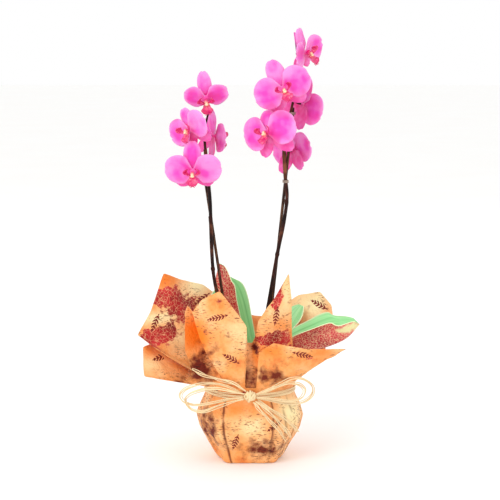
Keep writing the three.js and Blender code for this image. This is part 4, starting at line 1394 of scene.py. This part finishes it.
class GrowSpikes(bpy.types.Operator):
    """Grows the two flower spikes with their joints, scales and flower stalks."""

    bl_idname = "orchid.grow_spikes"
    bl_label = "Flower spikes"

    def execute(self, context):
        finish = stem_finish()
        for side, spike in SPIKES.items():
            stem = smooth_path(spike["stem"], 110)
            rachis = smooth_path(spike["rachis"], 60)
            line = smooth_path([*spike["stem"][:-1], *spike["rachis"][1:]], 120)
            pieces = [
                rod("stem", stem, [stem_radius(p, spike["joints"], STEM["radius"]) for p in stem]),
                rod("rachis", rachis, [
                    blend(STEM["rachis"], STEM["tip"], (k / len(rachis)) ** 2) * MM
                    for k in range(len(rachis))]),
            ]
            for name, bloom in BLOOMS.items():
                if name.startswith(side):
                    path = stalk_path(line, bloom)
                    radii = [
                        (STEM["stalk"] + 0.5 * math.exp(-k / 2) + 0.25 * (k / len(path)) ** 4) * MM
                        for k in range(len(path))
                    ]
                    pieces.append(rod("stalk", path, radii, 4))
            for number, joint in enumerate(spike["joints"]):
                point = at_height(stem, joint)
                index = stem.index(point)
                forward = (stem[min(index + 1, len(stem) - 1)] - stem[index - 1]).normalized()
                turn = -0.6 + number * 2.2
                out = Vector((math.cos(turn), -abs(math.sin(turn)), 0))
                out = (out - forward * out.dot(forward)).normalized()
                pieces.append(bract(point - forward * BRACT["below"] * MM, forward, out))
            whole = join(f"dark_spike_{side}", pieces)
            paint(whole, finish)
            seat(whole, "stem", f"flower_spike_{side}")
        return {"FINISHED"}


class SetStakes(bpy.types.Operator):
    """Sets a thin cane beside each spike and finishes the clips that hold them."""

    bl_idname = "orchid.set_stakes"
    bl_label = "Stakes and clips"

    def execute(self, context):
        finish = stake_finish()
        for side, spike in SPIKES.items():
            path = smooth_path(spike["stake"], 80)
            radii = []
            for k, point in enumerate(path):
                from_ring = (point.z / MM) % CANE["ring_spacing"] - CANE["first_ring"]
                ring = CANE["ring_height"] * math.exp(-(from_ring / CANE["ring_length"]) ** 2)
                tip = 0.75 if k in (0, len(path) - 1) else 1
                radii.append((STEM["stake"] * tip + ring) * MM)
            cane = join(f"cane_{side}", [rod("cane", path, radii)])
            paint(cane, finish)
            seat(cane, "stake", f"stake_{side}")
        clip = clip_finish()
        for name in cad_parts:
            if name.startswith("stem_clip"):
                paint(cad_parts[name], clip)
        return {"FINISHED"}


# Pot and bark

class FillPot(bpy.types.Operator):
    """Finishes the plastic pot and strews bark chips over its filling."""

    bl_idname = "orchid.fill_pot"
    bl_label = "Pot and bark"

    def execute(self, context):
        paint(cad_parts["growing_pot"], pot_finish())
        bark = bark_finish()
        paint(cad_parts["bark_medium"], bark)
        size = context.scene.orchid_plant.chip_size
        draw = random.Random(12)
        chips = []
        for number in range(BARK["chips"]):
            angle = number * GOLDEN_ANGLE
            reach = math.sqrt((number + 0.5) / BARK["chips"]) * BARK["radius"]
            x, y = math.cos(angle) * reach, math.sin(angle) * reach
            if math.hypot(x - CROWN["x"], y - CROWN["y"]) < BARK["clear"]:
                continue
            deselect()
            bpy.ops.mesh.primitive_cube_add(size=1, location=(0, 0, 0))
            chip = context.object
            long = size * draw.uniform(0.7, 1.2)
            shape = Matrix.Diagonal((long, long * draw.uniform(0.5, 0.8), size * draw.uniform(0.25, 0.4), 1))
            tilt = Matrix.Rotation(draw.uniform(-0.35, 0.35), 4, "X")
            turn = Matrix.Rotation(draw.uniform(0, 6.3), 4, "Z")
            chip.data.transform(Matrix.Translation(vec((x, y, BARK["height"]))) @ tilt @ turn @ shape)
            apply_modifier(chip, "Broken edges", "BEVEL", width=size * 0.14, segments=1)
            for corner in chip.data.vertices:
                corner.co += Vector([draw.uniform(-1, 1) for _ in range(3)]) * size * 0.05
            chips.append(chip)
        strewn = join("bark_chips", chips)
        bpy.ops.object.shade_flat()
        paint(strewn, bark)
        seat(strewn, "bark")
        return {"FINISHED"}


# Panel and registering

class OrchidPanel(bpy.types.Panel):
    """Lists the settings and the steps that build the orchid."""

    bl_idname = "VIEW3D_PT_orchid"
    bl_label = "Orchid"
    bl_space_type = "VIEW_3D"
    bl_region_type = "UI"
    bl_category = "Orchid"

    def draw(self, context):
        for name in GROUPS:
            group = getattr(context.scene, name)
            box = self.layout.box()
            for key in group.bl_rna.properties.keys():
                if key not in ("rna_type", "name"):
                    box.prop(group, key)
        for step in STEPS:
            self.layout.operator(step.bl_idname)


STEPS = (
    AddCamera, TieRaffiaStrands, WindRaffiaBand, TieRaffiaKnot, FoldPapers, OpenPetals, OpenLips,
    GrowLeaves, GrowSpikes, SetStakes, FillPot, LightStage,
)
GROUPS = {"orchid_plant": PlantSettings, "orchid_wrap": WrapSettings, "orchid_stage": StageSettings}
CLASSES = (*GROUPS.values(), *STEPS, OrchidPanel)


def register():
    for cls in CLASSES:
        bpy.utils.register_class(cls)
    for key, group in GROUPS.items():
        setattr(bpy.types.Scene, key, bpy.props.PointerProperty(type=group))


def unregister():
    for key in GROUPS:
        delattr(bpy.types.Scene, key)
    for cls in reversed(CLASSES):
        bpy.utils.unregister_class(cls)


def main():
    register()
    for step in STEPS:
        group, name = step.bl_idname.split(".")
        getattr(getattr(bpy.ops, group), name)()


if __name__ == "__main__":
    main()
